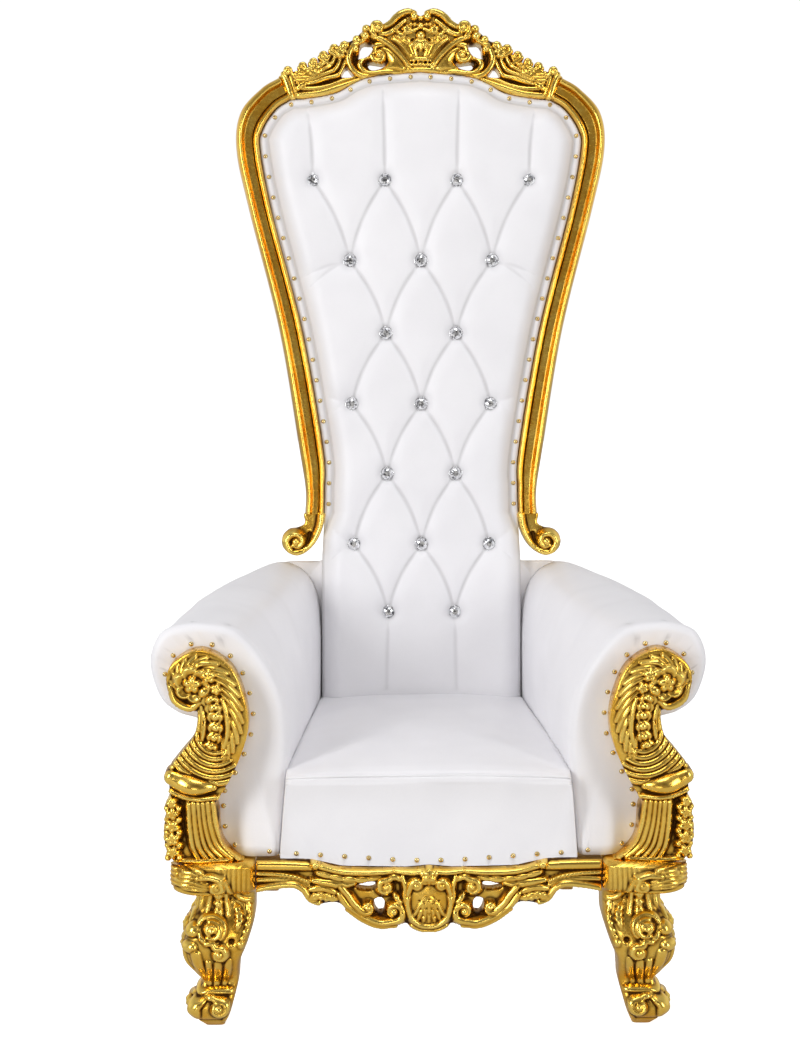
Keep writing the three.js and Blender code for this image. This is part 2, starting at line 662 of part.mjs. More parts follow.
/** The apron: a pierced rail with arched ends, scrolls and a central shell. */
function frontRail() {
  const lower = points([
    [0, 169], [16, 169], [31, 174], [41, 182], [70, 176], [100, 183], [130, 202], [156, 219], [190, 219],
    [206, 226], [220, 245], [236, 253], [268, 251], [299, 243],
  ]);
  const upper = points(RAIL_CREST.toReversed());
  const openings = [
    [[93, 257], [92, 246], [103, 241], [124, 244], [126, 250], [108, 257]],
    [[84, 229], [95, 224], [93, 207], [85, 198], [78, 203], [77, 222]],
  ];
  const sides = [1, -1].flatMap((side) => {
    const line = (pairs, steps) => smooth(points(pairs, side), steps);
    const curled = (x, y, radius, from, turn) => spiral([side * x, y], {
      radius, eye: radius * 0.35, from: side > 0 ? from : 180 - from, turn: side * turn, steps: 4,
    });
    return [
      moulding(line([[296, 287], [250, 286], [198, 283]], 2), { width: [9, 9, 8], crest: [9, 9, 9] }),
      moulding(line([[194, 283], [150, 272], [98, 269], [58, 271]], 3),
        { width: [7, 9, 5], crest: [12, 12, 8] }),
      moulding(line([[296, 252], [254, 260], [222, 252], [206, 232], [180, 227], [158, 227]], 4),
        { width: [6, 7, 8], crest: [11, 13, 15] }),
      moulding([...line([[152, 230], [126, 209], [92, 190]], 2), ...curled(62, 207, 24, -110, 400)],
        { width: [9, 9, 4], crest: [10, 14, 12] }),
      moulding([...line([[52, 262], [62, 268]], 1), ...curled(74, 250, 17, 100, -360)],
        { width: [5, 7, 4], crest: [9, 12, 12] }),
      moulding(line([[150, 258], [134, 238], [118, 214], [104, 210]], 2),
        { width: [9, 9, 5], crest: [13, 13, 12] }),
      moulding(line([[46, 258], [44, 232], [38, 205], [26, 180]], 2),
        { width: [4, 7, 4], crest: [8, 14, 8] }),
    ];
  });
  const carvings = [
    ...sides,
    flower([0, 268], 13, 16),
    ribs([0, 252], { inner: 16, outer: 80, from: -112, to: -68, count: 5, crest: 14 }),
  ].map((piece) => piece.translate([0, 0, RAIL_FRONT]));
  const ground = board(mirrored([...lower, ...upper]).slice(0, -1), RAIL_BACK, RAIL_FRONT);
  return pierce(fuse([ground, ...carvings]), openings).intersect(betweenLegs);
}

placePair(front, "arm_post", armPost(), gold);
placePair(front, "front_leg", frontLeg(), gold);
place(front, "front_rail", frontRail(), gold);

// ---- The plain rails and the rear legs ----

/** A bar between two upright rectangles, given by their x range, height range and forward distance. */
function bar(ends) {
  return solidOf(loft(ends.map(({ x: [left, right], height: [low, high], forward }) => [
    [left, low], [right, low], [right, high], [left, high],
  ].map(([x, height]) => new THREE.Vector3(x, height, forward)))));
}

const SIDE_RAIL_HEIGHT = [238, 299.4];
placePair(front, "side_rail", bar([
  { x: [346, 383], height: SIDE_RAIL_HEIGHT, forward: LEG_ROWS[2][1] - LEG_CORNER - GAP },
  { x: [283, 316], height: SIDE_RAIL_HEIGHT, forward: -204 },
]), gold);
place(front, "rear_rail", bar([
  { x: [-282, 282], height: [238, 281], forward: -205 },
  { x: [-282, 282], height: [238, 281], forward: -235 },
]), gold);

// A rear leg from its top down: height, nearest and furthest distance behind, and x range
const REAR_LEG_ROWS = [
  [299.2, 204.5, 256, 283, 332], [235, 204.5, 258, 283, 332], [140, 246, 295, 287, 329],
  [80, 289, 334, 291, 326], [0, 362, 400, 295, 323],
];

/** A plain sabre leg, raked backwards. */
function rearLeg() {
  return solidOf(loft(REAR_LEG_ROWS.map(([height, near, far, inner, outer]) => {
    const cut = (outer - inner) * 0.18;
    return [
      [inner, near + cut], [inner, far - cut], [inner + cut, far], [outer - cut, far],
      [outer, far - cut], [outer, near + cut], [outer - cut, near], [inner + cut, near],
    ].map(([x, behind]) => new THREE.Vector3(x, height, -behind));
  })));
}

placePair(front, "rear_leg", rearLeg(), gold);

// The origin stands on the floor, under the middle of the throne
const bounds = new THREE.Box3().setFromObject(throne, true);
const middle = (bounds.min.y + bounds.max.y) / 2;
for (const group of throne.children) group.position.y -= middle;

export default throne;
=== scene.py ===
"""A carved and gilded throne with white leather upholstery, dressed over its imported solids.

Every carved piece is drawn in a plane of its own, in millimetres: x across, y up and z forward. The
plane of the back leans; the plane of the front stands upright. Carving is laid on a fine grid of
heights, stroke by stroke, as a carver would work a board from its face.
"""

from __future__ import annotations

import logging
import math
from dataclasses import dataclass
from enum import Enum
from typing import Iterable, Sequence

import bpy
import numpy as np
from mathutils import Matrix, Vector
from mathutils.geometry import delaunay_2d_cdt

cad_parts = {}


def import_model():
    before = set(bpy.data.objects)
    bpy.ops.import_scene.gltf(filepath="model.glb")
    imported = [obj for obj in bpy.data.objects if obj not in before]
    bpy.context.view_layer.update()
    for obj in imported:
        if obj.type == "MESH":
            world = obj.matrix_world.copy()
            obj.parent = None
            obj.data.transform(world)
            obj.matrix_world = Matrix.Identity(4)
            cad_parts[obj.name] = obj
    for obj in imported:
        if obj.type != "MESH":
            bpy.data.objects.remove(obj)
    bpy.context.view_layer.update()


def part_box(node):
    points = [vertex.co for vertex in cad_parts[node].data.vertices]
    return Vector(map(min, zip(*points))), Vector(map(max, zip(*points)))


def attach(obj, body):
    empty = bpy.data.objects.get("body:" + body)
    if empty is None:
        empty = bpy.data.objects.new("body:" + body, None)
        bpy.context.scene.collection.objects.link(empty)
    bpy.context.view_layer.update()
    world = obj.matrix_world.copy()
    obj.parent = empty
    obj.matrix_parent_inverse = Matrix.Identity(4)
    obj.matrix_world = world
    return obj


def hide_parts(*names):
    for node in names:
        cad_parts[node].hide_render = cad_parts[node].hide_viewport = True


LOG = logging.getLogger("throne")
MM = 0.001
ROOT = "root"

# Sizes that several classes share, in millimetres
SKIRT = 12.0  # how far a carved form's sides may run out
LEAN = math.radians(7)  # of the back, from upright
ARM_FACE = 300.0  # front of the upholstered arms
POST_FRONT = 340.0  # ground of the carving on the arm posts
RAIL_FRONT = 332.0  # ground of the carving on the front rail
BACK_FOOT = 165.0  # where the plane of the back would meet the floor, behind the middle
ARM_LOW = 299.8  # foot of the arms
REAR_HALF = 199.5  # half width between the arms at their rear

Array = np.ndarray
Pair = tuple[float, float]
Path = Sequence[Pair]
Three = tuple[float, float, float]


# ---- Shader maths ----


class Wire:
    """A node's output, with arithmetic that adds Math nodes."""

    def __init__(self, graph: Graph, socket: bpy.types.NodeSocket) -> None:
        """Wraps a socket of a graph."""
        self.graph = graph
        self.socket = socket

    def _math(self, operation: str, *values: Wire | float) -> Wire:
        """Adds one Math node on the given values."""
        return self.graph.node("ShaderNodeMath", {"operation": operation}, *values)

    def __add__(self, other: Wire | float) -> Wire:
        """The sum."""
        return self._math("ADD", self, other)

    def __radd__(self, other: float) -> Wire:
        """The sum, with a number first."""
        return self._math("ADD", other, self)

    def __sub__(self, other: Wire | float) -> Wire:
        """The difference."""
        return self._math("SUBTRACT", self, other)

    def __rsub__(self, other: float) -> Wire:
        """The difference, with a number first."""
        return self._math("SUBTRACT", other, self)

    def __mul__(self, other: Wire | float) -> Wire:
        """The product."""
        return self._math("MULTIPLY", self, other)

    def __rmul__(self, other: float) -> Wire:
        """The product, with a number first."""
        return self._math("MULTIPLY", other, self)

    def clamped(self) -> Wire:
        """The value held between 0 and 1."""
        return self._math("MINIMUM", self._math("MAXIMUM", self, 0.0), 1.0)


class Graph:
    """The node tree of a material or world, built by expressions."""

    def __init__(self, tree: bpy.types.NodeTree) -> None:
        """Starts from an emptied tree."""
        self.tree = tree
        tree.nodes.clear()

    def node(
        self,
        kind: str,
        settings: dict[str, object] | None = None,
        *values: object,
        out: int | str = 0,
        **sockets: object,
    ) -> Wire:
        """Adds a node.

        Args:
            kind: The node's type.
            settings: Its properties, set first; "stops" sets a ramp's stops.
            values: Values or wires for its first inputs, in order.
            out: The output that is returned.
            sockets: Values or wires for inputs by name, with _ for a space.

        Returns:
            The chosen output.
        """
        node = self.tree.nodes.new(kind)
        for name, value in (settings or {}).items():
            if name == "stops":
                self._stops(node, value)
            else:
                setattr(node, name, value)
        for index, value in enumerate(values):
            self._feed(node.inputs[index], value)
        for name, value in sockets.items():
            self._feed(node.inputs[name.replace("_", " ")], value)
        return Wire(self, node.outputs[out] if node.outputs else node.inputs[0])

    def _stops(self, node: bpy.types.Node, stops: Sequence[tuple[float, tuple[float, ...]]]) -> None:
        """Sets a ramp's stops, each a place and a colour.

        Args:
            node: The ramp.
            stops: A place and a colour for each.
        """
        elements = node.color_ramp.elements
        while len(elements) < len(stops):
            elements.new(0.5)
        for element, (place, colour) in zip(elements, stops):
            element.position = place
            element.color = (*colour, 1.0) if len(colour) == 3 else colour

    def _feed(self, socket: bpy.types.NodeSocket, value: object) -> None:
        """Links a wire to a socket, or sets the socket's own value.

        Args:
            socket: The input.
            value: A wire, a colour or a number.
        """
        if isinstance(value, Wire):
            self.tree.links.new(value.socket, socket)
        elif isinstance(value, tuple) and len(value) == 3 and socket.type == "RGBA":
            socket.default_value = (*value, 1.0)
        else:
            socket.default_value = value

    def mix(self, factor: Wire | float, first: object, second: object, blend: str = "MIX") -> Wire:
        """Mixes two colours by a factor.

        Args:
            factor: How much of the second.
            first, second: The colours.
            blend: The kind of mix.

        Returns:
            The mixed colour.
        """
        settings = {"data_type": "RGBA", "blend_type": blend}
        node = self.node("ShaderNodeMix", settings, out=2)
        inputs = node.socket.node.inputs
        for index, value in ((0, factor), (6, first), (7, second)):
            self._feed(inputs[index], value)
        return node

    def noise(self, scale: float, detail: float = 2.0, vector: Wire | None = None) -> Wire:
        """A noise value over the object's own coordinates."""
        where = vector if vector is not None else self.coordinates()
        return self.node("ShaderNodeTexNoise", None, Vector=where, Scale=scale, Detail=detail)

    def coordinates(self) -> Wire:
        """The object's own coordinates, in metres."""
        return self.node("ShaderNodeTexCoord", out="Object")

    def ramp(self, value: Wire, *stops: tuple[float, tuple[float, ...]]) -> Wire:
        """A colour ramp on a value."""
        return self.node("ShaderNodeValToRGB", {"stops": stops}, value)

    def between(self, value: Wire, low: float, high: float, start: float = 0.0, end: float = 1.0) -> Wire:
        """Maps a range of a value to another range, clamped."""
        return self.node("ShaderNodeMapRange", None, value, low, high, start, end)


# ---- Finishes ----


@dataclass(frozen=True)
class Finish:
    """A surface finish: its name, its slot in the record, and the shader built for it."""

    name: str = "finish"
    slot: str = ""

    def material(self) -> bpy.types.Material:
        """The finish as a material, made once.

        Returns:
            The material.
        """
        found = bpy.data.materials.get(self.name)
        if found:
            return found
        made = bpy.data.materials.new(self.name)
        made.use_nodes = True
        graph = Graph(made.node_tree)
        shader = self.shader(graph)
        graph.node("ShaderNodeOutputMaterial", None, Surface=shader)
        return made

    def shader(self, graph: Graph) -> Wire:
        """The shader's output; each finish makes its own."""
        raise NotImplementedError


@dataclass(frozen=True)
class GoldLeaf(Finish):
    """Burnished gold leaf over gesso: warm, with a painted highlight on the ridges and painted brown shade in
    the recesses.
    """

    name: str = "gold_leaf"
    slot: str = "gilt_carving"
    bright: Three = (1.0, 0.72, 0.16)
    deep: Three = (0.88, 0.475, 0.05)
    # the colour of the painted shade in the recesses
    brown: Three = (0.075, 0.030, 0.005)
    # whether shade and highlight are painted from how sunk the carving is
    paint_shade_and_highlight: bool = True

    def shader(self, graph: Graph) -> Wire:
        """Varies tone and gloss over the leaf, paints brown shade into the recesses and paints a highlight on
        the ridges.

        Args:
            graph: The nodes to build in.

        Returns:
            The surface.
        """
        patches = graph.noise(22.0, 3.0)
        fine = graph.noise(160.0, 4.0)
        tone = graph.between(patches * 0.7 + fine * 0.3, 0.40, 0.75)
        colour = graph.mix(tone, self.deep, self.bright)
        gloss = graph.between(fine, 0.3, 0.7, 0.15, 0.27)
        if self.paint_shade_and_highlight:
            # Painted shade: recesses mixed towards brown and made rougher. Painted highlight: ridges mixed
            # towards bright.
            recess = graph.node("ShaderNodeAttribute", {"attribute_name": "recess"}, out="Fac")
            painted_shade = (recess * (1.0 + 0.5 * fine)).clamped()
            painted_highlight = (recess * -1.2).clamped()
            colour = graph.mix(painted_highlight, colour, self.bright)
            colour = graph.mix(painted_shade, colour, self.brown)
            gloss = gloss + 0.3 * painted_shade
        wrinkles = graph.noise(420.0, 3.0)
        bump = graph.node("ShaderNodeBump", None, Strength=0.07, Distance=0.0006,
                          Height=wrinkles + 0.6 * fine)
        return graph.node(
            "ShaderNodeBsdfPrincipled", None, Base_Color=colour, Metallic=1.0, Roughness=gloss, Normal=bump
        )


@dataclass(frozen=True)
class WhiteLeather(Finish):
    """White coated leather with a fine pebbled grain and a soft sheen."""

    name: str = "grained_leather"
    slot: str = "white_leather"
    light: Three = (0.90, 0.893, 0.915)
    dull: Three = (0.855, 0.848, 0.872)
    # the colour of the painted shade in creases and pleats
    crease: Three = (0.36, 0.35, 0.36)

    def shader(self, graph: Graph) -> Wire:
        """Adds grain, slow unevenness and faint tone, and paints shade into the creases.

        Args:
            graph: The nodes to build in.

        Returns:
            The surface.
        """
        where = graph.coordinates()
        cells = graph.node("ShaderNodeTexVoronoi", None, Vector=where, Scale=620.0)
        grain = graph.noise(300.0, 3.0, where)
        slow = graph.noise(9.0, 2.0, where)
        tone = graph.between(slow * 0.8 + grain * 0.2, 0.35, 0.7)
        colour = graph.mix(tone, self.dull, self.light)
        recess = graph.node("ShaderNodeAttribute", {"attribute_name": "recess"}, out="Fac")
        # Painted shade: creases and pleats darkened towards the crease colour by how sunk they are.
        colour = graph.mix((recess * 0.42).clamped(), colour, self.crease)
        gloss = graph.between(grain, 0.3, 0.7, 0.38, 0.52)
        soft = graph.noise(45.0, 2.0, where)
        height = cells * 0.5 + grain * 0.35 + soft * 1.4
        bump = graph.node("ShaderNodeBump", None, Strength=0.16, Distance=0.0009, Height=height)
        return graph.node(
            "ShaderNodeBsdfPrincipled", None, Base_Color=colour, Roughness=gloss, Normal=bump, IOR=1.48
        )


@dataclass(frozen=True)
class Crystal(Finish):
    """Clear cut crystal."""

    name: str = "cut_crystal"
    slot: str = "crystal"

    def shader(self, graph: Graph) -> Wire:
        """Foiled glass: sharp facets that mirror the room, with a trace of haze.

        Args:
            graph: The nodes to build in.

        Returns:
            The surface.
        """
        haze = graph.between(graph.noise(500.0, 2.0), 0.3, 0.7, 0.02, 0.08)
        # Painted reflection and shade: a tone from near black to white for each cell, standing in for the
        # light that each cut face catches.
        painted_facet_light = graph.node("ShaderNodeTexVoronoi", None, Vector=graph.coordinates(), Scale=260.0,
                            out="Color")
        tone = graph.node("ShaderNodeSeparateColor", None, painted_facet_light, out=0)
        colour = graph.ramp(tone, (0.0, (0.10, 0.10, 0.11)), (0.3, (0.55, 0.56, 0.58)),
                            (0.6, (0.9, 0.91, 0.93)),
                            (1.0, (1.0, 1.0, 1.0)))
        return graph.node("ShaderNodeBsdfPrincipled", None, Base_Color=colour, Metallic=0.85, Roughness=haze,
                          IOR=1.6)


@dataclass(frozen=True)
class Foil(Finish):
    """A bright metal with slight tarnish, for nail heads and the backs of the crystals."""

    name: str = "antique_nail"
    bright: Three = (0.80, 0.63, 0.30)
    tarnish: Three = (0.40, 0.28, 0.11)

    def shader(self, graph: Graph) -> Wire:
        """Mottles the metal.

        Args:
            graph: The nodes to build in.

        Returns:
            The surface.
        """
        spots = graph.noise(260.0, 3.0)
        colour = graph.mix(graph.between(spots, 0.42, 0.68), self.bright, self.tarnish)
        gloss = graph.between(spots, 0.3, 0.7, 0.18, 0.32)
        return graph.node("ShaderNodeBsdfPrincipled", None, Base_Color=colour, Metallic=1.0, Roughness=gloss)


# ---- Drawing planes and curves ----


@dataclass(frozen=True)
class Plane:
    """A drawing plane laid into the throne's frame: x across, y the height, z forward, in millimetres."""

    foot: float  # metres behind the middle where the plane meets the floor
    lean: float = 0.0

    def place(self, points: Array) -> Array:
        """Points of the plane in the throne's frame, in metres."""
        x, up, forward = points.T * MM
        sine, cosine = math.sin(self.lean), math.cos(self.lean)
        return np.stack([x, self.foot + up * sine / cosine - forward * cosine, up + forward * sine], 1)


def smooth(points: Path, closed: bool = False, density: int = 8) -> Array:
    """A Catmull-Rom curve through points.

    Args:
        points: The points it passes.
        closed: Whether it returns to its first point.
        density: Steps from one point to the next.

    Returns:
        The curve as rows of x and y.
    """
    given = np.asarray(points, float)
    if closed:
        padded = np.vstack([given[-1], given, given[:2]])
    else:
        padded = np.vstack([2 * given[0] - given[1], given, 2 * given[-1] - given[-2]])
    t = np.linspace(0, 1, density, endpoint=False)[:, None]
    spans = []
    for before, start, end, after in zip(padded, padded[1:], padded[2:], padded[3:]):
        spans.append(
            0.5 * (2 * start + (end - before) * t + (2 * before - 5 * start + 4 * end - after) * t**2
                   + (3 * start - before - 3 * end + after) * t**3)
        )
    curve = np.vstack(spans)
    return curve if closed else np.vstack([curve, given[-1]])


def spiral(centre: Pair, radius: float, eye: float, start: float, turn: float) -> Array:
    """A curl that winds in from a radius to its eye, with angles in degrees.

    Args:
        centre: Its middle.
        radius, eye: Its distance from there at the start and the end.
        start, turn: Its first angle and how far it winds.

    Returns:
        The curl's points.
    """
    t = np.linspace(0, 1, 40)
    angle = np.radians(start + turn * t)
    reach = radius * (eye / radius) ** t
    return np.stack([centre[0] + reach * np.cos(angle), centre[1] + reach * np.sin(angle)], 1)


def beside(path: Array, distance: float) -> Array:
    """A path moved sideways, to the left of its direction."""
    along = np.gradient(path, axis=0)
    along /= np.linalg.norm(along, axis=1)[:, None]
    return path + distance * np.stack([-along[:, 1], along[:, 0]], 1)


def lengths_along(path: Array) -> Array:
    """The length from the start of a path to each of its points."""
    return np.concatenate([[0], np.cumsum(np.hypot(*np.diff(path, axis=0).T))])


def stepped(path: Array, count: int) -> list[Pair]:
    """Places at even steps along a path, half a step in from its ends."""
    lengths, count = lengths_along(path), max(count, 1)
    steps = (np.arange(count) + 0.5) * lengths[-1] / count
    return list(zip(np.interp(steps, lengths, path[:, 0]), np.interp(steps, lengths, path[:, 1])))


def profile(rows: Sequence[tuple[float, ...]], column: int, heights: Array) -> Array:
    """One column of a table whose rows start with a height, smoothly read at other heights."""
    curve = smooth([(-row[0], row[column]) for row in rows])
    return np.interp(-heights, curve[:, 0], curve[:, 1])


def disc(centre: Pair, radius: float, forward: float, sides: int, offset: float = 0.0) -> Array:
    """A level ring of points round a centre, turned by a share of a step."""
    turn = 2 * math.pi * (np.arange(sides) + offset) / sides
    return np.stack([centre[0] + radius * np.cos(turn), centre[1] + radius * np.sin(turn),
                     np.full(sides, forward)], 1)


def bow(values: Three, t: Array) -> Array:
    """The parabola through three values at 0, a half and 1."""
    start, middle, end = values
    return start * (1 - t) * (1 - 2 * t) + 4 * middle * t * (1 - t) + end * t * (2 * t - 1)


# ---- Carving ----


class Edge(Enum):
    """How a carved stroke falls off to its sides."""

    ROUND = "round"
    SOFT = "soft"

    def fall(self, across: Array) -> Array:
        """The height left at a distance across, from 1 at the middle to 0 at the side."""
        side = np.clip(across, 0, 1)
        return np.sqrt(1 - side**2) if self is Edge.ROUND else (1 - side**2) ** 1.5


@dataclass(frozen=True)
class Stroke:
    """One cut of the carving along a path: a bead, a leaf or a rope."""

    path: Array
    width: Three  # half widths at its start, middle and end
    crest: Three  # heights of its crest there, above the plane
    drop: float = 0.85  # from its crest to its sides, in half widths
    lobes: float = 0.0  # scallops along a leaf's margin
    vein: float = 0.0  # depth of a leaf's midrib
    twist: float = 0.0  # length of one turn of a rope
    moat: float = 2.0  # how deep it is cut into what lies under it
    proud: bool = False  # whether it widens the piece's outline


class Relief:
    """A carved face as heights over a grid, inside an outline."""

    def __init__(self, low: Pair, high: Pair, pitch: float) -> None:
        """Lays an empty grid.

        Args:
            low: Its lowest corner, in millimetres.
            high: Its highest corner.
            pitch: The distance between its lines.
        """
        self.pitch = pitch
        self.low = np.array(low, float)
        count = np.round((np.array(high) - self.low) / pitch).astype(int) + 1
        xs = self.low[0] + pitch * np.arange(count[0])
        ys = self.low[1] + pitch * np.arange(count[1])
        self.x, self.y = np.meshgrid(xs, ys)
        self.base = np.zeros_like(self.x)  # the form that the carving is measured from
        self.height = np.zeros_like(self.x)
        self.reach = np.full_like(self.x, 1e3)  # distance outside the outline, negative inside

    def _window(self, low: Array, high: Array) -> tuple[slice, slice]:
        """The rows and columns that cover a box.

        Args:
            low, high: The box's corners.

        Returns:
            A slice of rows and one of columns.
        """
        first = np.floor((low - self.low) / self.pitch).astype(int)
        last = np.ceil((high - self.low) / self.pitch).astype(int) + 1
        rows, columns = self.x.shape
        return (
            slice(int(np.clip(first[1], 0, rows)), int(np.clip(last[1], 0, rows))),
            slice(int(np.clip(first[0], 0, columns)), int(np.clip(last[0], 0, columns))),
        )

    @staticmethod
    def _nearest(x: Array, y: Array, path: Array) -> tuple[Array, ...]:
        """Distance to a path, length along it, and side of it, for every place.

        Args:
            x, y: The places.
            path: The path.

        Returns:
            Three arrays, each shaped as the places are.
        """
        best = np.full(x.shape, np.inf)
        along = np.zeros(x.shape)
        side = np.zeros(x.shape)
        done = 0.0
        for start, end in zip(path, path[1:]):
            dx, dy = end - start
            length = math.hypot(dx, dy)
            if length < 1e-9:
                continue
            part = np.clip(((x - start[0]) * dx + (y - start[1]) * dy) / length**2, 0, 1)
            ex, ey = x - start[0] - part * dx, y - start[1] - part * dy
            distance = np.hypot(ex, ey)
            closer = distance < best
            best[closer] = distance[closer]
            along[closer] = done + part[closer] * length
            side[closer] = np.sign(dx * ey - dy * ex)[closer]
            done += length
        return best, along, side

    def _inside(self, outline: Array) -> Array:
        """The signed distance to a closed outline, negative inside it.

        Args:
            outline: The outline, without its first point repeated.

        Returns:
            The distance at every place of the grid.
        """
        ring = np.vstack([outline, outline[:1]])
        distance, _, _ = self._nearest(self.x, self.y, ring)
        crossings = np.zeros(self.x.shape, bool)
        for (ax, ay), (bx, by) in zip(ring, ring[1:]):
            if ay == by:
                continue
            spans = (ay > self.y) != (by > self.y)
            crossings ^= spans & (self.x < (bx - ax) * (self.y - ay) / (by - ay) + ax)
        return np.where(crossings, -distance, distance)

    def ground(self, outline: Array, level: float) -> None:
        """Lays the board that the carving is worked in."""
        self.reach = np.minimum(self.reach, self._inside(outline))
        self.base[:] = level
        self.height[:] = level

    def nearest(self, path: Array) -> tuple[Array, ...]:
        """Distance to a path, length along it, and side of it, over the whole grid."""
        return self._nearest(self.x, self.y, path)

    def below(self, path: Array) -> Array:
        """How far each place is below a line that runs across."""
        return np.interp(self.x, path[:, 0], path[:, 1]) - self.y

    def half_ground(self, outline: Array, level: float) -> None:
        """Lays the right half of a board that runs on across x = 0."""
        first, last = outline[0], outline[-1]
        self.ground(np.vstack([[(-80, first[1])], outline, [(-80, last[1])]]), level)

    def dome(self, points: Path, width: Three, rise: Three) -> None:
        """Swells the base form along a curve; what is carved later stands on it.

        Args:
            points: The curve.
            width: Half widths at its start, middle and end.
            rise: Heights there.
        """
        distance, along, _ = self.nearest(smooth(points))
        t = along / along.max()
        self.base += bow(rise, t) * Edge.SOFT.fall(distance / bow(width, t))
        self.height = np.maximum(self.height, self.base)

    def panel(self, outline: Path, level: float, crown: float = 0.0) -> None:
        """Raises the part inside a smooth outline to a level, or to a crown in its middle."""
        inside = self._inside(smooth(outline, closed=True, density=5))
        depth = np.clip(-inside / max(-inside.min(), 1.0), 0, 1)
        self._raise((slice(None), slice(None)), level + crown * (1 - (1 - depth) ** 2), inside, 1.5, False)

    def pierce(self, outline: Array) -> None:
        """Cuts an opening right through."""
        self.reach = np.maximum(self.reach, -self._inside(outline))

    def carve(self, strokes: Iterable[Stroke]) -> None:
        """Works strokes in order, each over the ones before."""
        for stroke in strokes:
            self._work(stroke)

    def _work(self, stroke: Stroke) -> None:
        """Works one stroke.

        Args:
            stroke: The stroke.
        """
        margin = max(stroke.width) + SKIRT
        window = self._window(stroke.path.min(0) - margin, stroke.path.max(0) + margin)
        x, y = self.x[window], self.y[window]
        if not x.size:
            return
        distance, along, side = self._nearest(x, y, stroke.path)
        length = np.hypot(*np.diff(stroke.path, axis=0).T).sum()
        t = along / length
        half = np.maximum(bow(stroke.width, t), 0.4)
        full = half
        if stroke.lobes:
            half = half * (0.76 + 0.24 * np.abs(np.sin(math.pi * stroke.lobes * t)) ** 0.8)
        across = np.clip(distance / half, 0, 1)
        lift = bow(stroke.crest, t) - stroke.drop * full * (1 - Edge.ROUND.fall(across))
        if stroke.lobes:
            beat = stroke.lobes * (t - 0.25 * across * full / length)
            lift = lift - 0.34 * full * across * (1 - np.abs(np.sin(math.pi * beat)) ** 0.7)
        if stroke.twist:
            turns = along / stroke.twist + 0.5 * side * across
            lift = lift - 0.45 * half * (1 - np.abs(np.sin(math.pi * turns)) ** 0.8)
        if stroke.vein:
            lift = lift - stroke.vein * np.exp(-((distance / (0.22 * full + 0.5)) ** 2))
        self._raise(window, lift, distance - half, stroke.moat, stroke.proud)

    def _raise(
        self, window: tuple[slice, slice], lift: Array, outside: Array, moat: float, proud: bool
    ) -> None:
        """Lays a form whose signed distance outside is given, with a skirt that runs down to the ground.

        Args:
            window: The part of the grid.
            lift: The form's height above the base.
            outside: The signed distance.
            moat: How deep it is cut in.
            proud: Whether it widens the outline.
        """
        under = self.height[window] - moat * (1 - np.clip(outside / 3.0, 0, 1)) ** 2
        over = self.base[window] + lift - 1.7 * np.clip(outside, 0, None)
        self.height[window] = np.maximum(under, over)
        if proud:
            self.reach[window] = np.minimum(self.reach[window], outside)

    def groove(self, path: Array, width: float, depth: float) -> None:
        """Cuts a channel along a path."""
        window = self._window(path.min(0) - width, path.max(0) + width)
        distance, _, _ = self._nearest(self.x[window], self.y[window], path)
        self.height[window] -= depth * Edge.SOFT.fall(distance / width)

    def _polar(self, centre: Pair, radius: float) -> tuple[tuple[slice, slice], Array, Array]:
        """The window round a centre, with distances and angles from it.

        Args:
            centre: The centre.
            radius: How far the window reaches.

        Returns:
            The window, distances and angles.
        """
        middle = np.array(centre)
        window = self._window(middle - radius, middle + radius)
        dx, dy = self.x[window] - centre[0], self.y[window] - centre[1]
        return window, np.hypot(dx, dy), np.arctan2(dy, dx)

    def knob(self, centre: Pair, radius: float, crest: float, proud: bool = False) -> None:
        """Raises a rounded boss."""
        window, distance, _ = self._polar(centre, radius + SKIRT)
        across = np.clip(distance / radius, 0, 1)
        self._raise(window, crest - 0.9 * radius * (1 - Edge.ROUND.fall(across)), distance - radius, 2.0,
                    proud)

    def pit(self, centre: Pair, radius: float, depth: float) -> None:
        """Drills a rounded hollow."""
        window, distance, _ = self._polar(centre, radius)
        self.height[window] -= depth * Edge.SOFT.fall(distance / radius)

    def flower(self, centre: Pair, radius: float, crest: float, turn: float, proud: bool = False) -> None:
        """Carves an open flower: five cupped petals round a sunk, beaded heart.

        Args:
            centre, radius: Its place and size.
            crest: Its height.
            turn: Where the first points, in degrees.
            proud: Whether it widens the outline.
        """
        window, distance, angle = self._polar(centre, radius + SKIRT)
        beat = np.abs(np.cos(5 * (angle - math.radians(turn)) / 2))
        margin = radius * (0.74 + 0.26 * beat**0.6)
        out = np.clip(distance / margin, 0, 1)
        cup = np.sin(math.pi * (0.08 + 0.80 * out)) ** 0.8
        lift = crest - radius * (0.42 * (1 - cup) + 0.26 * (1 - beat**0.6) * out)
        heart = crest - 0.2 * radius * (distance / (0.26 * radius)) ** 2
        lift = np.maximum(lift, np.where(distance < 0.3 * radius, heart, -99))
        self._raise(window, lift, distance - margin, 2.0, proud)

    def rose(self, centre: Pair, radius: float, crest: float, turn: float = 0.0, proud: bool = False) -> None:
        """Carves a full-blown rose: rings of overlapping petals, each lower than the one inside it.

        Args:
            centre, radius: Its place and size.
            crest: The height of its heart.
            turn: Where the first petal points, in degrees.
            proud: Whether it widens the outline.
        """
        x, y = centre
        for ring, (reach, count) in enumerate(((0.66, 5), (0.40, 4), (0.16, 3))):
            for i in range(count):
                angle = math.radians(turn + 37 * ring + 360 * i / count)
                middle = (x + radius * reach * math.cos(angle), y + radius * reach * math.sin(angle))
                self.petal(middle, radius * (0.40 - 0.05 * ring), angle, crest - 3.6 + 1.8 * ring, proud)
        self.knob(centre, radius * 0.13, crest + 0.6)

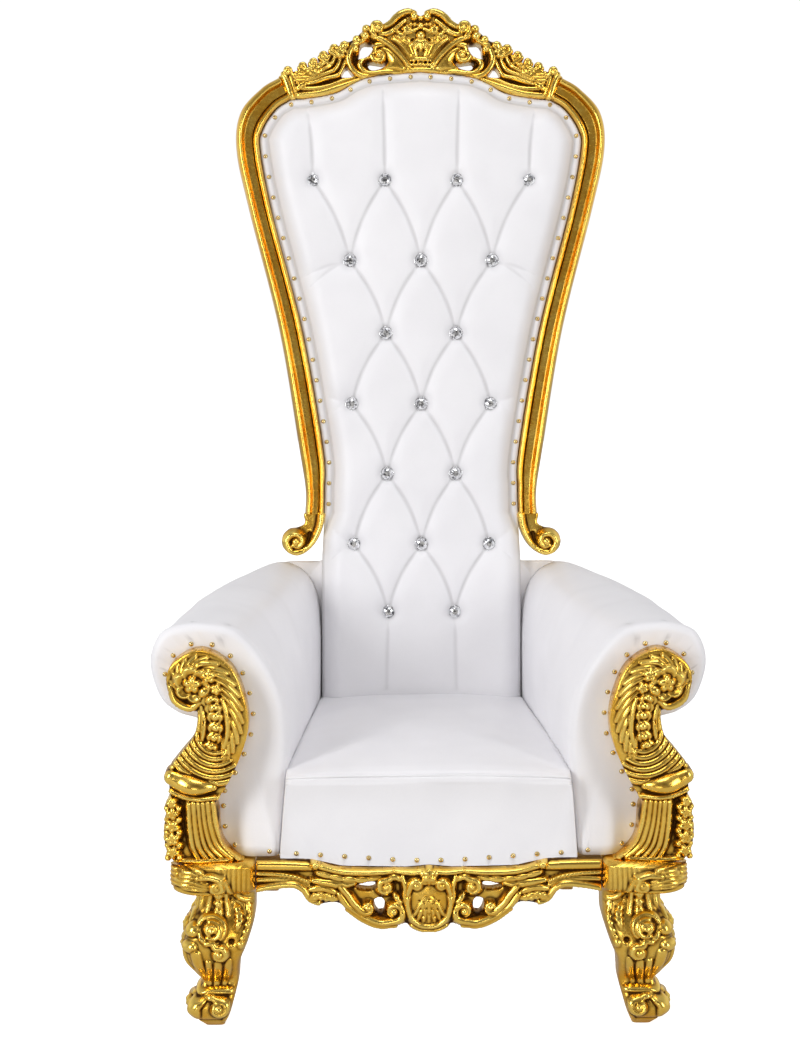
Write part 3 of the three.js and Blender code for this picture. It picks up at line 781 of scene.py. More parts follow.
    def petal(self, centre: Pair, radius: float, angle: float, crest: float, proud: bool = False) -> None:
        """Carves one petal, dished, with its rim raised on the outer side.

        Args:
            centre, radius: Its place and size.
            angle: Where it points, in radians.
            crest: Its height.
            proud: Whether it widens the outline.
        """
        window, distance, around = self._polar(centre, radius + SKIRT)
        outward = np.cos(around - angle)
        out = np.clip(distance / radius, 0, 1)
        dish = 0.30 * radius * (1 - out**2)
        lift = crest - dish + 0.16 * radius * outward * out - 0.12 * radius * (1 - outward)
        self._raise(window, lift, distance - radius, 1.6, proud)

    def shell(
        self, centre: Pair, inner: float, outer: float, start: float, end: float, ribs: int, crest: float
    ) -> None:
        """Carves ribs that spread from a centre between two angles, with a scalloped edge.

        Args:
            centre: Where the ribs meet.
            inner, outer: Where they begin and end.
            start, end: The first and last angle.
            ribs: How many.
            crest: Their height.
        """
        window, distance, angle = self._polar(centre, outer + SKIRT)
        middle = math.radians((start + end) / 2)
        span = math.radians(end - start)
        off = (angle - middle + math.pi) % (2 * math.pi) - math.pi
        beat = np.abs(np.sin(math.pi * ribs * np.clip(off / span + 0.5, 0, 1)))
        margin = outer * (0.91 + 0.09 * beat)
        radial = np.clip((distance - inner) / (margin - inner), 0, 1)
        pitch = span * distance / ribs
        arch = 0.12 * outer * (1 - np.sin(math.pi * (0.2 + 0.65 * radial)))
        lift = crest - 0.42 * pitch * (1 - beat**0.7) - arch
        aside = (np.abs(off) - span / 2) * distance
        self._raise(window, lift, np.maximum.reduce([distance - margin, inner - distance, aside]), 2.0, False)

    def beads(self, path: Array, spacing: float, radius: float, crest: float) -> None:
        """Sets a row of small beads along a path.

        Args:
            path: The path.
            spacing: From bead to bead.
            radius, crest: The size and height of each.
        """
        for centre in stepped(path, int(lengths_along(path)[-1] // spacing)):
            self.knob(centre, radius, crest)

    def soften(self, passes: int) -> None:
        """Eases the tool marks a little."""
        for _ in range(passes):
            self.height = self._blurred(self.height)

    @staticmethod
    def _blurred(values: Array) -> Array:
        """One light blur."""
        wide = np.pad(values, 1, mode="edge")
        rows = wide[:-2] + 2 * wide[1:-1] + wide[2:]
        return (rows[:, :-2] + 2 * rows[:, 1:-1] + rows[:, 2:]) / 16

    def mirrored(self) -> None:
        """Repeats a right half that starts at x = 0 on the left."""
        for name in ("base", "height", "reach", "y"):
            half = getattr(self, name)
            setattr(self, name, np.hstack([half[:, :0:-1], half]))
        self.x = np.hstack([-self.x[:, :0:-1], self.x])
        self.low[0] = self.x[0, 0]

    def sample(self, x: Array, y: Array) -> Array:
        """Heights at any places, between the grid's lines.

        Args:
            x, y: The places.

        Returns:
            A height for each.
        """
        column = np.clip((x - self.low[0]) / self.pitch, 0, self.x.shape[1] - 1.001)
        row = np.clip((y - self.low[1]) / self.pitch, 0, self.x.shape[0] - 1.001)
        c, r = column.astype(int), row.astype(int)
        u, v = column - c, row - r
        h = self.height
        lower = h[r, c] * (1 - u) * (1 - v) + h[r, c + 1] * u * (1 - v)
        return lower + h[r + 1, c] * (1 - u) * v + h[r + 1, c + 1] * u * v

    def recess(self, depth: float = 2.0) -> Array:
        """How sunk each place is below what surrounds it, from -1 on a ridge to 1 in a crease; the finishes
        paint shade and highlight from it.

        Args:
            depth: How far below counts as a full crease.

        Returns:
            A value for every place of the grid.
        """
        around = self.height
        for _ in range(14):
            around = self._blurred(around)
        return np.clip((around - self.height) / depth, -1, 1)

    def body(self, back: float, roll: float = 3.0) -> Shape:
        """Closes the carved face into a solid with a flat back.

        Args:
            back: The level of the flat back.
            roll: How far the front's edge is rounded over.

        Returns:
            The closed shape, in the plane's own millimetres.
        """
        reach = self.reach
        kept = (reach[:-1, :-1] + reach[1:, :-1] + reach[:-1, 1:] + reach[1:, 1:]) < 0
        slope_y, slope_x = np.gradient(reach, self.pitch)
        steep = np.maximum(np.hypot(slope_x, slope_y), 0.5)
        edge = np.clip((reach + roll) / roll, 0, 1)
        height = self.height - roll * (1 - np.sqrt(np.clip(1 - edge**2, 0, 1))) * 0.8
        height = np.maximum(height, back + 4)

        rows, columns = self.x.shape
        number = np.arange(rows * columns).reshape(rows, columns)
        corners = [number[:-1, :-1], number[:-1, 1:], number[1:, 1:], number[1:, :-1]]
        quads = np.stack([corner[kept] for corner in corners], 1)

        around = np.pad(kept, 1)
        borders = []
        for shift, (first, second) in (((0, 1), (0, 1)), ((1, 2), (1, 2)), ((2, 1), (2, 3)),
                                       ((1, 0), (3, 0))):
            outside = around[shift[0]: shift[0] + kept.shape[0], shift[1]: shift[1] + kept.shape[1]]
            chosen = kept & ~outside
            borders.append(np.stack([corners[first][chosen], corners[second][chosen]], 1))
        border = np.vstack(borders)
        rim = np.unique(border)

        x, y = self.x.ravel().copy(), self.y.ravel().copy()
        shift = np.clip(reach.ravel()[rim], -self.pitch, self.pitch)
        nx, ny = (slope_x / steep).ravel()[rim], (slope_y / steep).ravel()[rim]
        x[rim] -= shift * nx
        y[rim] -= shift * ny

        used = np.unique(quads)
        lookup = np.full(rows * columns, -1)
        lookup[used] = np.arange(len(used))
        face = np.stack([x[used], y[used], height.ravel()[used]], 1)
        waist = np.stack([x[rim], y[rim], np.full(len(rim), back + 2.0)], 1)
        heel = np.stack([x[rim] - 1.6 * nx, y[rim] - 1.6 * ny, np.full(len(rim), back)], 1)
        ring = np.full(rows * columns, -1)
        ring[rim] = np.arange(len(rim))

        first, second = border.T
        waist_at, heel_at = len(face), len(face) + len(rim)
        walls = [
            np.stack([lookup[second], lookup[first], ring[first] + waist_at, ring[second] + waist_at], 1),
            np.stack([ring[second] + waist_at, ring[first] + waist_at, ring[first] + heel_at,
                      ring[second] + heel_at], 1),
        ]
        backs = self._back(heel, np.stack([ring[first], ring[second]], 1)) + heel_at
        # The face's recess becomes painted shade and painted highlight in the finishes; the sides get a
        # little painted shade.
        recess = np.concatenate([self.recess().ravel()[used], np.full(2 * len(rim), 0.15)])
        return Shape(
            np.vstack([face, waist, heel]),
            [*lookup[quads].tolist(), *walls[0].tolist(), *walls[1].tolist(), *backs.tolist()],
            recess,
        )

    def _back(self, heel: Array, edges: Array) -> Array:
        """Triangles that close the flat back inside its rim.

        Args:
            heel: The rim's points.
            edges: Pairs of them that share an edge.

        Returns:
            The triangles, by the rim's points.
        """
        flat = [Vector((float(x), float(y))) for x, y, _ in heel]
        made, _, triangles, origin, _, _ = delaunay_2d_cdt(flat, edges.tolist(), [], 1, 1e-4)
        first = [ids[0] if ids else -1 for ids in origin]
        kept = []
        for triangle in triangles:
            middle = sum((made[corner] for corner in triangle), Vector((0.0, 0.0))) / len(triangle)
            column = int(round((middle.x - self.low[0]) / self.pitch))
            row = int(round((middle.y - self.low[1]) / self.pitch))
            ids = [first[corner] for corner in triangle]
            if self.reach[row, column] < 0.6 and min(ids) >= 0:
                kept.append(ids[::-1])
        return np.array(kept, int).reshape(-1, 3)


@dataclass
class Shape:
    """A mesh on its way: vertices in a plane's millimetres, faces, and how sunk each vertex is."""

    points: Array
    faces: list[list[int]]
    recess: Array | None = None

    def turned_over(self) -> Shape:
        """The mirror image across x = 0."""
        return Shape(self.points * (-1, 1, 1), [face[::-1] for face in self.faces], self.recess)

    def piece(
        self, name: str, plane: Plane, finish: Finish, *nodes: str, smooth_faces: bool = True
    ) -> bpy.types.Object:
        """Makes the object that rides on the throne.

        Args:
            name: The object's name.
            plane: Where the shape is laid.
            finish: Its surface.
            nodes: The solids that it stands for.
            smooth_faces: Whether its faces are shaded as one surface.

        Returns:
            The object.
        """
        mesh = bpy.data.meshes.new(name)
        mesh.from_pydata(plane.place(self.points).tolist(), [], self.faces)
        # The recess values go with the mesh; the finishes paint shade and highlight from them.
        if self.recess is not None:
            layer = mesh.attributes.new("recess", "FLOAT", "POINT")
            layer.data.foreach_set("value", self.recess.astype(np.float32))
        mesh.polygons.foreach_set("use_smooth", np.full(len(mesh.polygons), smooth_faces))
        mesh.update()
        made = bpy.data.objects.new(name, mesh)
        bpy.context.collection.objects.link(made)
        mesh.materials.append(finish.material())
        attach(made, ROOT)
        if nodes:
            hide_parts(*nodes)
        return made


def pair(shape: Shape, name: str, plane: Plane, finish: Finish, node: str) -> list[bpy.types.Object]:
    """The right piece of a shape and its mirror image on the left."""
    forms = (("right", shape), ("left", shape.turned_over()))
    return [form.piece(f"{name}_{side}", plane, finish, f"{node}_{side}") for side, form in forms]


def joined(shapes: Sequence[Shape]) -> Shape:
    """Several shapes as one.

    Args:
        shapes: The shapes.

    Returns:
        One shape with all their faces.
    """
    faces: list[list[int]] = []
    start = 0
    for shape in shapes:
        faces.extend([corner + start for corner in face] for face in shape.faces)
        start += len(shape.points)
    recess = [shape.recess if shape.recess is not None else np.zeros(len(shape.points)) for shape in shapes]
    return Shape(np.vstack([shape.points for shape in shapes]), faces, np.concatenate(recess))


def lofted(rings: Array, recess: Array | None = None) -> Shape:
    """A closed skin over rings of points.

    Args:
        rings: Rings by rows, each of the same number of points.
        recess: How sunk each point is, if that matters.

    Returns:
        The shape, its ends closed.
    """
    count, around = rings.shape[:2]
    number = np.arange(count * around).reshape(count, around)
    turned = np.roll(number, -1, axis=1)
    quads = np.stack([number[:-1], turned[:-1], turned[1:], number[1:]], -1).reshape(-1, 4).tolist()
    quads += [number[0, ::-1].tolist(), number[-1].tolist()]
    return Shape(rings.reshape(-1, 3), quads, None if recess is None else recess.ravel())


def bead(points: Path, width: Three, crest: Three, **more: object) -> Stroke:
    """A rounded stroke along a smooth curve."""
    return Stroke(smooth(points), width, crest, **more)


def curled(lead: Path, centre: Pair, radius: float, start: float, turn: float, width: Three, crest: Three,
           eye: float = 0.35, **more: object) -> Stroke:
    """A stroke that runs up a lead and winds into a curl.

    Args:
        lead: The points before the curl.
        centre, radius: The curl's place and size.
        start, turn: Its first angle and how far it winds.
        width, crest: As for a stroke.
        eye: The share of the radius left at its end.

    Returns:
        The stroke.
    """
    curl = spiral(centre, radius, radius * eye, start, turn)
    path = smooth([*lead, *curl[::6]], density=5) if len(lead) else curl
    return Stroke(path, width, crest, **more)


# ---- The back ----


@dataclass
class Crest:
    """The crest rail: a pierced board carved with scrolls, wings, flowers and a fluted shell."""

    plane: Plane
    pitch: float = 1.25
    ground: float = 1.0
    back: float = -34.0

    OGEE = [(0, 1679), (90, 1671), (131, 1658), (165, 1639), (212, 1629), (257, 1624)]
    TOP = [
        (0, 1785), (12, 1793), (30, 1795), (44, 1786), (60, 1767), (72, 1762), (84, 1771), (97, 1764),
        (107, 1766), (116, 1755), (132, 1741), (156, 1731), (174, 1719), (196, 1697), (226, 1684),
        (262, 1674), (281, 1669),
    ]
    OPENINGS = [
        [(92, 1731), (104, 1734), (118, 1733), (121, 1716), (124, 1704), (114, 1703), (99, 1712)],
        [(66, 1700), (76, 1695), (92, 1697), (105, 1697), (100, 1683), (86, 1682), (70, 1690)],
        [(145, 1690), (157, 1669), (132, 1669)],
    ]
    SCROLLS = [  # beside the middle
        bead([(36, 1676), (66, 1679), (98, 1675), (112, 1680), (120, 1692), (113, 1704), (100, 1707)],
             (3.5, 5, 4), (8, 13, 12), moat=2),
        bead([(60, 1671), (100, 1668), (127, 1676), (140, 1692), (142, 1710), (131, 1729), (112, 1740)],
             (3.5, 5.5, 5), (9, 14, 15), moat=2.5, proud=True),
        curled([(58, 1727), (72, 1732), (90, 1728)], (83, 1710), 16, 60, -400, (4.5, 6, 3.6), (12, 15, 16),
               moat=3),
        bead([(20, 1681), (29, 1697), (42, 1713), (58, 1728), (76, 1740), (94, 1749)], (4, 5.5, 5),
             (13, 15, 17), drop=0.7, moat=4),
        bead([(90, 1753), (72, 1751), (57, 1756), (43, 1767), (30, 1778)], (3.5, 5, 3.5), (13, 15, 14),
             moat=3),
        bead([(80, 1761), (70, 1766), (58, 1773), (49, 1783), (38, 1791), (25, 1795), (12, 1792)],
             (4.5, 6.5, 5), (14, 18, 16), moat=3, proud=True),
        curled([(90, 1748), (98, 1757)], (85, 1763), 11, -20, 400, (4.5, 6, 4), (16, 20, 19), moat=3,
               proud=True),
    ]

    def _wing(self) -> list[Stroke]:
        """The wing of curved flutes that runs down to the joint, over its ribbon.

        Returns:
            The strokes.
        """
        tops = [(147, 1704), (155, 1712), (165, 1718), (176, 1719), (188, 1712), (200, 1703)]
        ends = [(243, 1655), (247, 1661), (249, 1667), (248, 1673), (246, 1678), (242, 1683)]
        strokes = []
        for i, ((ax, ay), (bx, by)) in enumerate(zip(tops, ends)):
            sag = 0.62 - 0.06 * i
            knee = (ax + 0.14 * (bx - ax), ay - sag * (ay - by))
            path = [(ax, ay), knee, (ax + 0.42 * (bx - ax), by + 0.22 * (ay - by)), (bx - 26, by + 1),
                    (bx, by)]
            strokes.append(bead(path, (2.6, 4.3, 3.0), (10, 14 + i, 15), drop=1.1, moat=3.0))
        strokes += [
            bead([(121, 1671), (150, 1662), (180, 1650), (212, 1645), (246, 1647)], (3, 5, 4), (8, 13, 12),
                 moat=3),
            bead([(120, 1664), (158, 1650), (200, 1637), (252, 1632)], (3.5, 5.5, 4), (9, 14, 12), moat=3),
            bead([(224, 1656), (236, 1651), (246, 1641)], (4, 6, 4), (12, 16, 12), lobes=3, vein=1.5),
            bead([(270, 1672), (262, 1652), (255, 1630)], (6, 7, 6), (17, 19, 17), moat=3, proud=True),
            bead([(258, 1672), (251, 1652), (246, 1634)], (3, 3.5, 3), (14, 15, 13), moat=2),
        ]
        return strokes

    def _edge_leaves(self) -> list[Stroke]:
        """The curls that break the upper edge of the wing.

        Returns:
            The strokes.
        """
        strokes = []
        for centre, radius in (((149, 1728), 9), ((169, 1722), 9.5), ((190, 1709), 9), ((210, 1696), 8),
                               ((231, 1688), 8.5)):
            lead = [(centre[0] - 10, centre[1] - 16), (centre[0] + radius * 0.9, centre[1] - radius * 0.6)]
            strokes.append(curled(lead, centre, radius * 0.8, -20, 330, (3, 4.2, 3.4), (13, 16, 15),
                                  proud=True))
        strokes.append(curled([(252, 1671)], (262, 1678), 7.5, 200, -400, (3, 4, 3), (15, 20, 19),
                              proud=True))
        return strokes

    def _middle(self, relief: Relief) -> None:
        """The flowers and the fluted shell of the middle.

        Args:
            relief: The board.
        """
        for i in range(4):
            foot, head = (6 + 5.5 * i, 1698 + 4.5 * i), (24 + 10 * i, 1741 + 0.5 * i)
            middle = ((foot[0] + head[0]) / 2 - 3, (foot[1] + head[1]) / 2 + 1)
            relief.carve([bead([foot, middle, head], (2.2, 3.8, 2.4), (12, 14, 13), drop=0.9, moat=3)])
        relief.carve([
            bead([(-8, 1704), (0, 1703), (12, 1702), (20, 1692)], (4, 4, 3.5), (13, 14, 12)),
            bead([(-4, 1683), (8, 1683), (22, 1682), (34, 1679)], (4, 4, 3), (12, 12, 8)),
            bead([(3, 1763), (18, 1756), (34, 1752), (52, 1746)], (2.5, 3.4, 2.4), (13, 14, 12), moat=2),
            bead([(52, 1758), (38, 1752), (28, 1743)], (2.2, 3, 2), (12, 13, 12), moat=2),
        ])
        relief.beads(np.array([(-5.0, 1692.5), (21.0, 1692.5)]), 8.6, 3.6, 13)
        for x in (9.5, 18.0):
            relief.pit((x - 0.5, 1696), 3.2, 9)
        relief.pit((15, 1739), 5, 9)
        relief.flower((27, 1760), 8.5, 16, 20)
        relief.flower((40, 1747), 7, 15, 60)
        relief.shell((0, 1745), 4, 25, -150, -30, 5, 17)
        relief.knob((0, 1748), 9, 18)
        relief.knob((0, 1767), 6.5, 17)
        relief.beads(smooth([(7, 1772), (16, 1768), (22, 1774)]), 7, 3, 15)
        relief.knob((0, 1783), 6.0, 15)
        relief.knob((13, 1785), 7.5, 20)

    def build(self) -> None:
        """Carves the right half and repeats it on the left."""
        relief = Relief((0, 1618), (290, 1806), self.pitch)
        relief.half_ground(np.array([*self.TOP, *smooth(self.OGEE)[::-1]]), self.ground)
        for opening in self.OPENINGS:
            relief.pierce(smooth(opening, closed=True, density=6))
        relief.panel([(-60, 1680), (20, 1682), (33, 1702), (47, 1718), (64, 1732), (88, 1748), (60, 1756),
                      (44, 1766),
                      (20, 1786), (-60, 1786)], 10)
        relief.panel([(24, 1678), (36, 1702), (54, 1722), (72, 1731), (88, 1724), (70, 1710), (64, 1696),
                      (78, 1682),
                      (58, 1675)], 7, 6)
        relief.carve(self._wing())
        relief.carve(self._edge_leaves())
        relief.carve(self.SCROLLS)
        for centre, radius, crest in (((83, 1710), 5.5, 19), ((85, 1763), 5.5, 22), ((107, 1761), 8.5, 17),
                                      ((109, 1747), 8.5, 20), ((126, 1741), 8, 16), ((128, 1722), 7, 18)):
            relief.knob(centre, radius, crest, proud=centre[1] > 1740)
        relief.flower((158, 1714), 9, 17, 10)
        self._middle(relief)
        relief.reach = np.maximum(relief.reach, relief.below(smooth(self.OGEE)))
        relief.mirrored()
        relief.soften(1)
        relief.body(self.back).piece("crest_carving", self.plane, GoldLeaf(), "crest_rail")


@dataclass
class Stiles:
    """The two uprights: a moulded sweep, widest at the shoulder, with a scroll at its foot."""

    plane: Plane
    back: float = -42.0

    OUTER = [(280, 1669), (316, 1647), (357, 1600), (365, 1527), (340.5, 1410), (281.5, 1175), (242, 939),
             (230, 860), (231, 812)]
    INNER = [(257, 1624), (286, 1605), (312, 1566), (317, 1527), (295, 1410), (235, 1175), (194, 939),
             (192, 860),
             (193, 812)]
    SECTION = [  # across from the outer edge, and forward
        (0.0, -20), (0.01, -6), (0.05, 8), (0.12, 16.5), (0.20, 20), (0.27, 19), (0.33, 14), (0.37, 9.5),
        (0.42, 8.0), (0.55, 7.2), (0.68, 6.6), (0.715, 4.2), (0.74, 7.5), (0.80, 14.5), (0.87, 17),
        (0.94, 14.5), (0.985, 6), (1.0, -8),
    ]

    def _sweep(self) -> Shape:
        """The moulded sweep from the joint with the crest to the neck of the scroll.

        Returns:
            The right sweep.
        """
        outer, inner = smooth(self.OUTER, density=26), smooth(self.INNER, density=26)
        section = smooth(self.SECTION, density=3)
        back = np.array([(1.0, self.back), (0.0, self.back)])
        section = np.vstack([section, back])
        across, forward = section[:, 0], section[:, 1]
        flat = outer[:, None] * (1 - across[None, :, None]) + inner[:, None] * across[None, :, None]
        depth = np.broadcast_to(forward[None, :, None], (*flat.shape[:2], 1))
        rings = np.concatenate([flat, depth], 2)
        # Painted shade in the hollows of the moulding and painted highlight on its crests (below zero), set
        # across the section; the back gets a little painted shade.
        places = [0, 0.05, 0.3, 0.38, 0.45, 0.68, 0.715, 0.75, 0.9, 1]
        sunk = np.interp(across, places, [0.6, 0.0, -0.5, 0.4, 0.12, 0.1, 1, 0.1, -0.6, 0.5])
        sunk = np.where(forward < 0, 0.15, sunk)
        return lofted(rings[:, ::-1], np.broadcast_to(sunk[::-1], rings.shape[:2]))

    def _scroll(self) -> Shape:
        """The scroll at the foot.

        Returns:
            The right scroll.
        """
        relief = Relief((184, 712), (284, 822), 1.4)
        outline = smooth([(231, 815), (231, 795), (246, 786), (263, 783), (275, 770), (276, 752), (266, 738),
                          (248, 731),
                          (231, 736), (213, 752), (200, 775), (193, 800), (193, 815)], closed=True, density=5)
        relief.ground(outline, 3)
        relief.carve([
            bead([(197, 816), (199, 792), (207, 770), (220, 751), (240, 738)], (5, 5.5, 4), (14, 15, 13)),
            curled([(236, 739), (250, 736)], (249, 758), 21, -60, 400, (6, 5.5, 3), (14, 19, 17), eye=0.4),
        ])
        relief.knob((249, 758), 8, 19)
        relief.pit((222, 775), 5, 5)
        relief.soften(2)
        return relief.body(self.back, roll=5)

    def build(self) -> None:
        """Makes the right stile and its mirror image."""
        shape = joined([self._sweep(), self._scroll()])
        pair(shape, "stile_moulding", self.plane, GoldLeaf(), "back_stile")


# ---- The carved front ----


@dataclass
class Posts:
    """The facings of the arms: an S-scroll with husks and leaves over a reeded block."""

    plane: Plane
    back: float = -39.6
    pitch: float = 1.25

    INNER = [(300, 298), (330, 303), (357, 335), (362, 385), (367, 402)]
    HEAD = [(350, 427), (325, 478), (309, 534), (316, 590), (340, 641), (390, 668), (436, 645), (447, 610),
            (430, 574), (396, 562)]
    NECK = [(383, 546), (393, 512), (415, 484), (436, 462), (445, 438), (442, 412)]
    BLOCK = [(452, 380), (456, 347), (450, 316), (437, 297.5)]

    def _outline(self) -> Array:
        """The outline of the whole facing."""
        return np.vstack([smooth(part) for part in (self.INNER, self.HEAD, self.NECK, self.BLOCK)])

    def _scroll(self, relief: Relief) -> None:
        """The gadrooned rim of the S, its volute and the flowers inside it.

        Args:
            relief: The board.
        """
        rim = smooth([(352, 470), (332, 500), (319, 540), (324, 590), (348, 635), (390, 659), (426, 643),
                      (438, 611),
                      (426, 583), (404, 573)], density=20)
        within = beside(rim, -25)
        if np.hypot(*(within - (385, 590)).T).min() > np.hypot(*(rim - (385, 590)).T).min():
            within = beside(rim, 25)
        count = len(rim)
        for i in range(18):
            start = int(count * (0.95 - 0.048 * i))
            end = max(start - int(count * 0.14), 0)
            half = (start + end) // 2
            middle = within[half] * 0.5 + rim[half] * 0.5
            path = smooth([within[start], middle, rim[end]])
            relief.carve([Stroke(path, (2.6, 5.0, 3.4), (5, 8, 4), drop=0.9, moat=3)])
        relief.carve([
            bead([(441, 606), (432, 582), (408, 569), (388, 580)], (4, 7, 4), (5, 10, 8), moat=3, proud=True),
            bead([(391, 566), (391, 540), (399, 512), (420, 486), (440, 462)], (4, 5.5, 4.5), (4, 8, 5),
                 moat=3,
                 proud=True),
            bead([(352, 586), (345, 560), (343, 530), (350, 500)], (3, 4.5, 3), (6, 9, 6), moat=3.5),
            bead([(388, 572), (384, 545), (387, 518), (398, 496)], (3, 4.5, 3), (6, 9, 6), moat=3.5),
        ])
        for i in range(6):
            angle = math.radians(-100 + 60 * i)
            relief.petal((402 + 18 * math.cos(angle), 612 + 18 * math.sin(angle)), 11.5, angle, 12)
        relief.flower((402, 612), 14, 16, 20)
        relief.flower((374, 626), 11, 13, 15)
        relief.flower((362, 604), 9, 12, 40)
        relief.knob((382, 598), 11, 14)

    def _husks(self, relief: Relief) -> None:
        """The string of bell husks down the middle of the S.

        Args:
            relief: The board.
        """
        spine = smooth([(372, 584), (366, 566), (364, 545), (366, 522), (374, 502)])
        for i, place in enumerate(np.linspace(0, len(spine) - 1, 6).astype(int)):
            x, y = spine[place]
            size = 11.0 - 0.6 * i
            relief.carve([
                bead([(x, y + size), (x - size, y), (x - size * 0.8, y - size)], (2.5, 4, 2), (8, 10, 6),
                     moat=2),
                bead([(x, y + size), (x + size, y), (x + size * 0.8, y - size)], (2.5, 4, 2), (8, 10, 6),
                     moat=2),
            ])
            relief.knob((x, y), size * 0.8, 14 - 0.4 * i)

    def _shell(self, relief: Relief) -> None:
        """The overlapping tongues that close the S at its foot, and the bulb under them.

        Args:
            relief: The board.
        """
        for i in range(6):
            reach = 30 + 10.5 * i
            angles = np.radians(np.linspace(-118 - 2 * i, 6 - 4 * i, 16))
            path = np.stack([366 + reach * np.cos(angles), 521 + reach * np.sin(angles)], 1)
            relief.carve([Stroke(path, (3.0, 6.4, 4), (3, 8 + 0.6 * i, 5), drop=1.0, moat=4)])
        relief.carve([
            bead([(440, 447), (424, 440), (402, 435), (370, 432)], (14, 16.5, 7), (13, 19, 9), drop=0.9,
                 moat=4,
                 proud=True),
            bead([(362, 413), (392, 412), (420, 416), (442, 424)], (3.5, 4.5, 4), (8, 11, 11), moat=4,
                 proud=True),
        ])

    def _block(self, relief: Relief) -> None:
        """The reeded block with its column of flowers and the coves beside it.

        Args:
            relief: The board.
        """
        for i in range(6):
            path = [(371 + 8.2 * i, 404), (367 + 8.6 * i, 364), (353 + 10.5 * i, 326), (328 + 13.5 * i, 303)]
            wide = 4.8 if i in (1, 4) else 3.4
            relief.carve([bead(path, (wide, wide + 0.6, wide), (7 + 0.8 * i, 9.5 + 0.8 * i, 7), drop=0.9,
                               moat=4)])
        for y, radius, turn in ((404, 9, 0), (385, 11, 30), (363, 12.5, 60), (340, 12.5, 10), (317, 11, 50)):
            relief.flower((441, y), radius, 15, turn, proud=True)
        for y in (394, 374, 351, 328, 306):
            relief.knob((449, y), 5.5, 11, proud=True)
            relief.knob((429, y), 5, 12)
        relief.carve([bead([(345, 301), (390, 300), (440, 300.5)], (3, 3.4, 3), (7, 8, 8), moat=2)])

    def build(self) -> None:
        """Carves the right facing and mirrors it."""
        relief = Relief((294, 292), (466, 676), self.pitch)
        relief.ground(self._outline(), 0.5)
        relief.dome([(384, 424), (352, 470), (342, 530), (352, 590), (398, 622)], (48, 46, 52), (7, 8, 8))
        relief.dome([(405, 405), (404, 350), (400, 300)], (46, 46, 46), (5, 4, 3))
        self._scroll(relief)
        self._husks(relief)
        self._shell(relief)
        self._block(relief)
        relief.soften(1)
        pair(relief.body(self.back), "arm_carving", self.plane, GoldLeaf(), "arm_post")


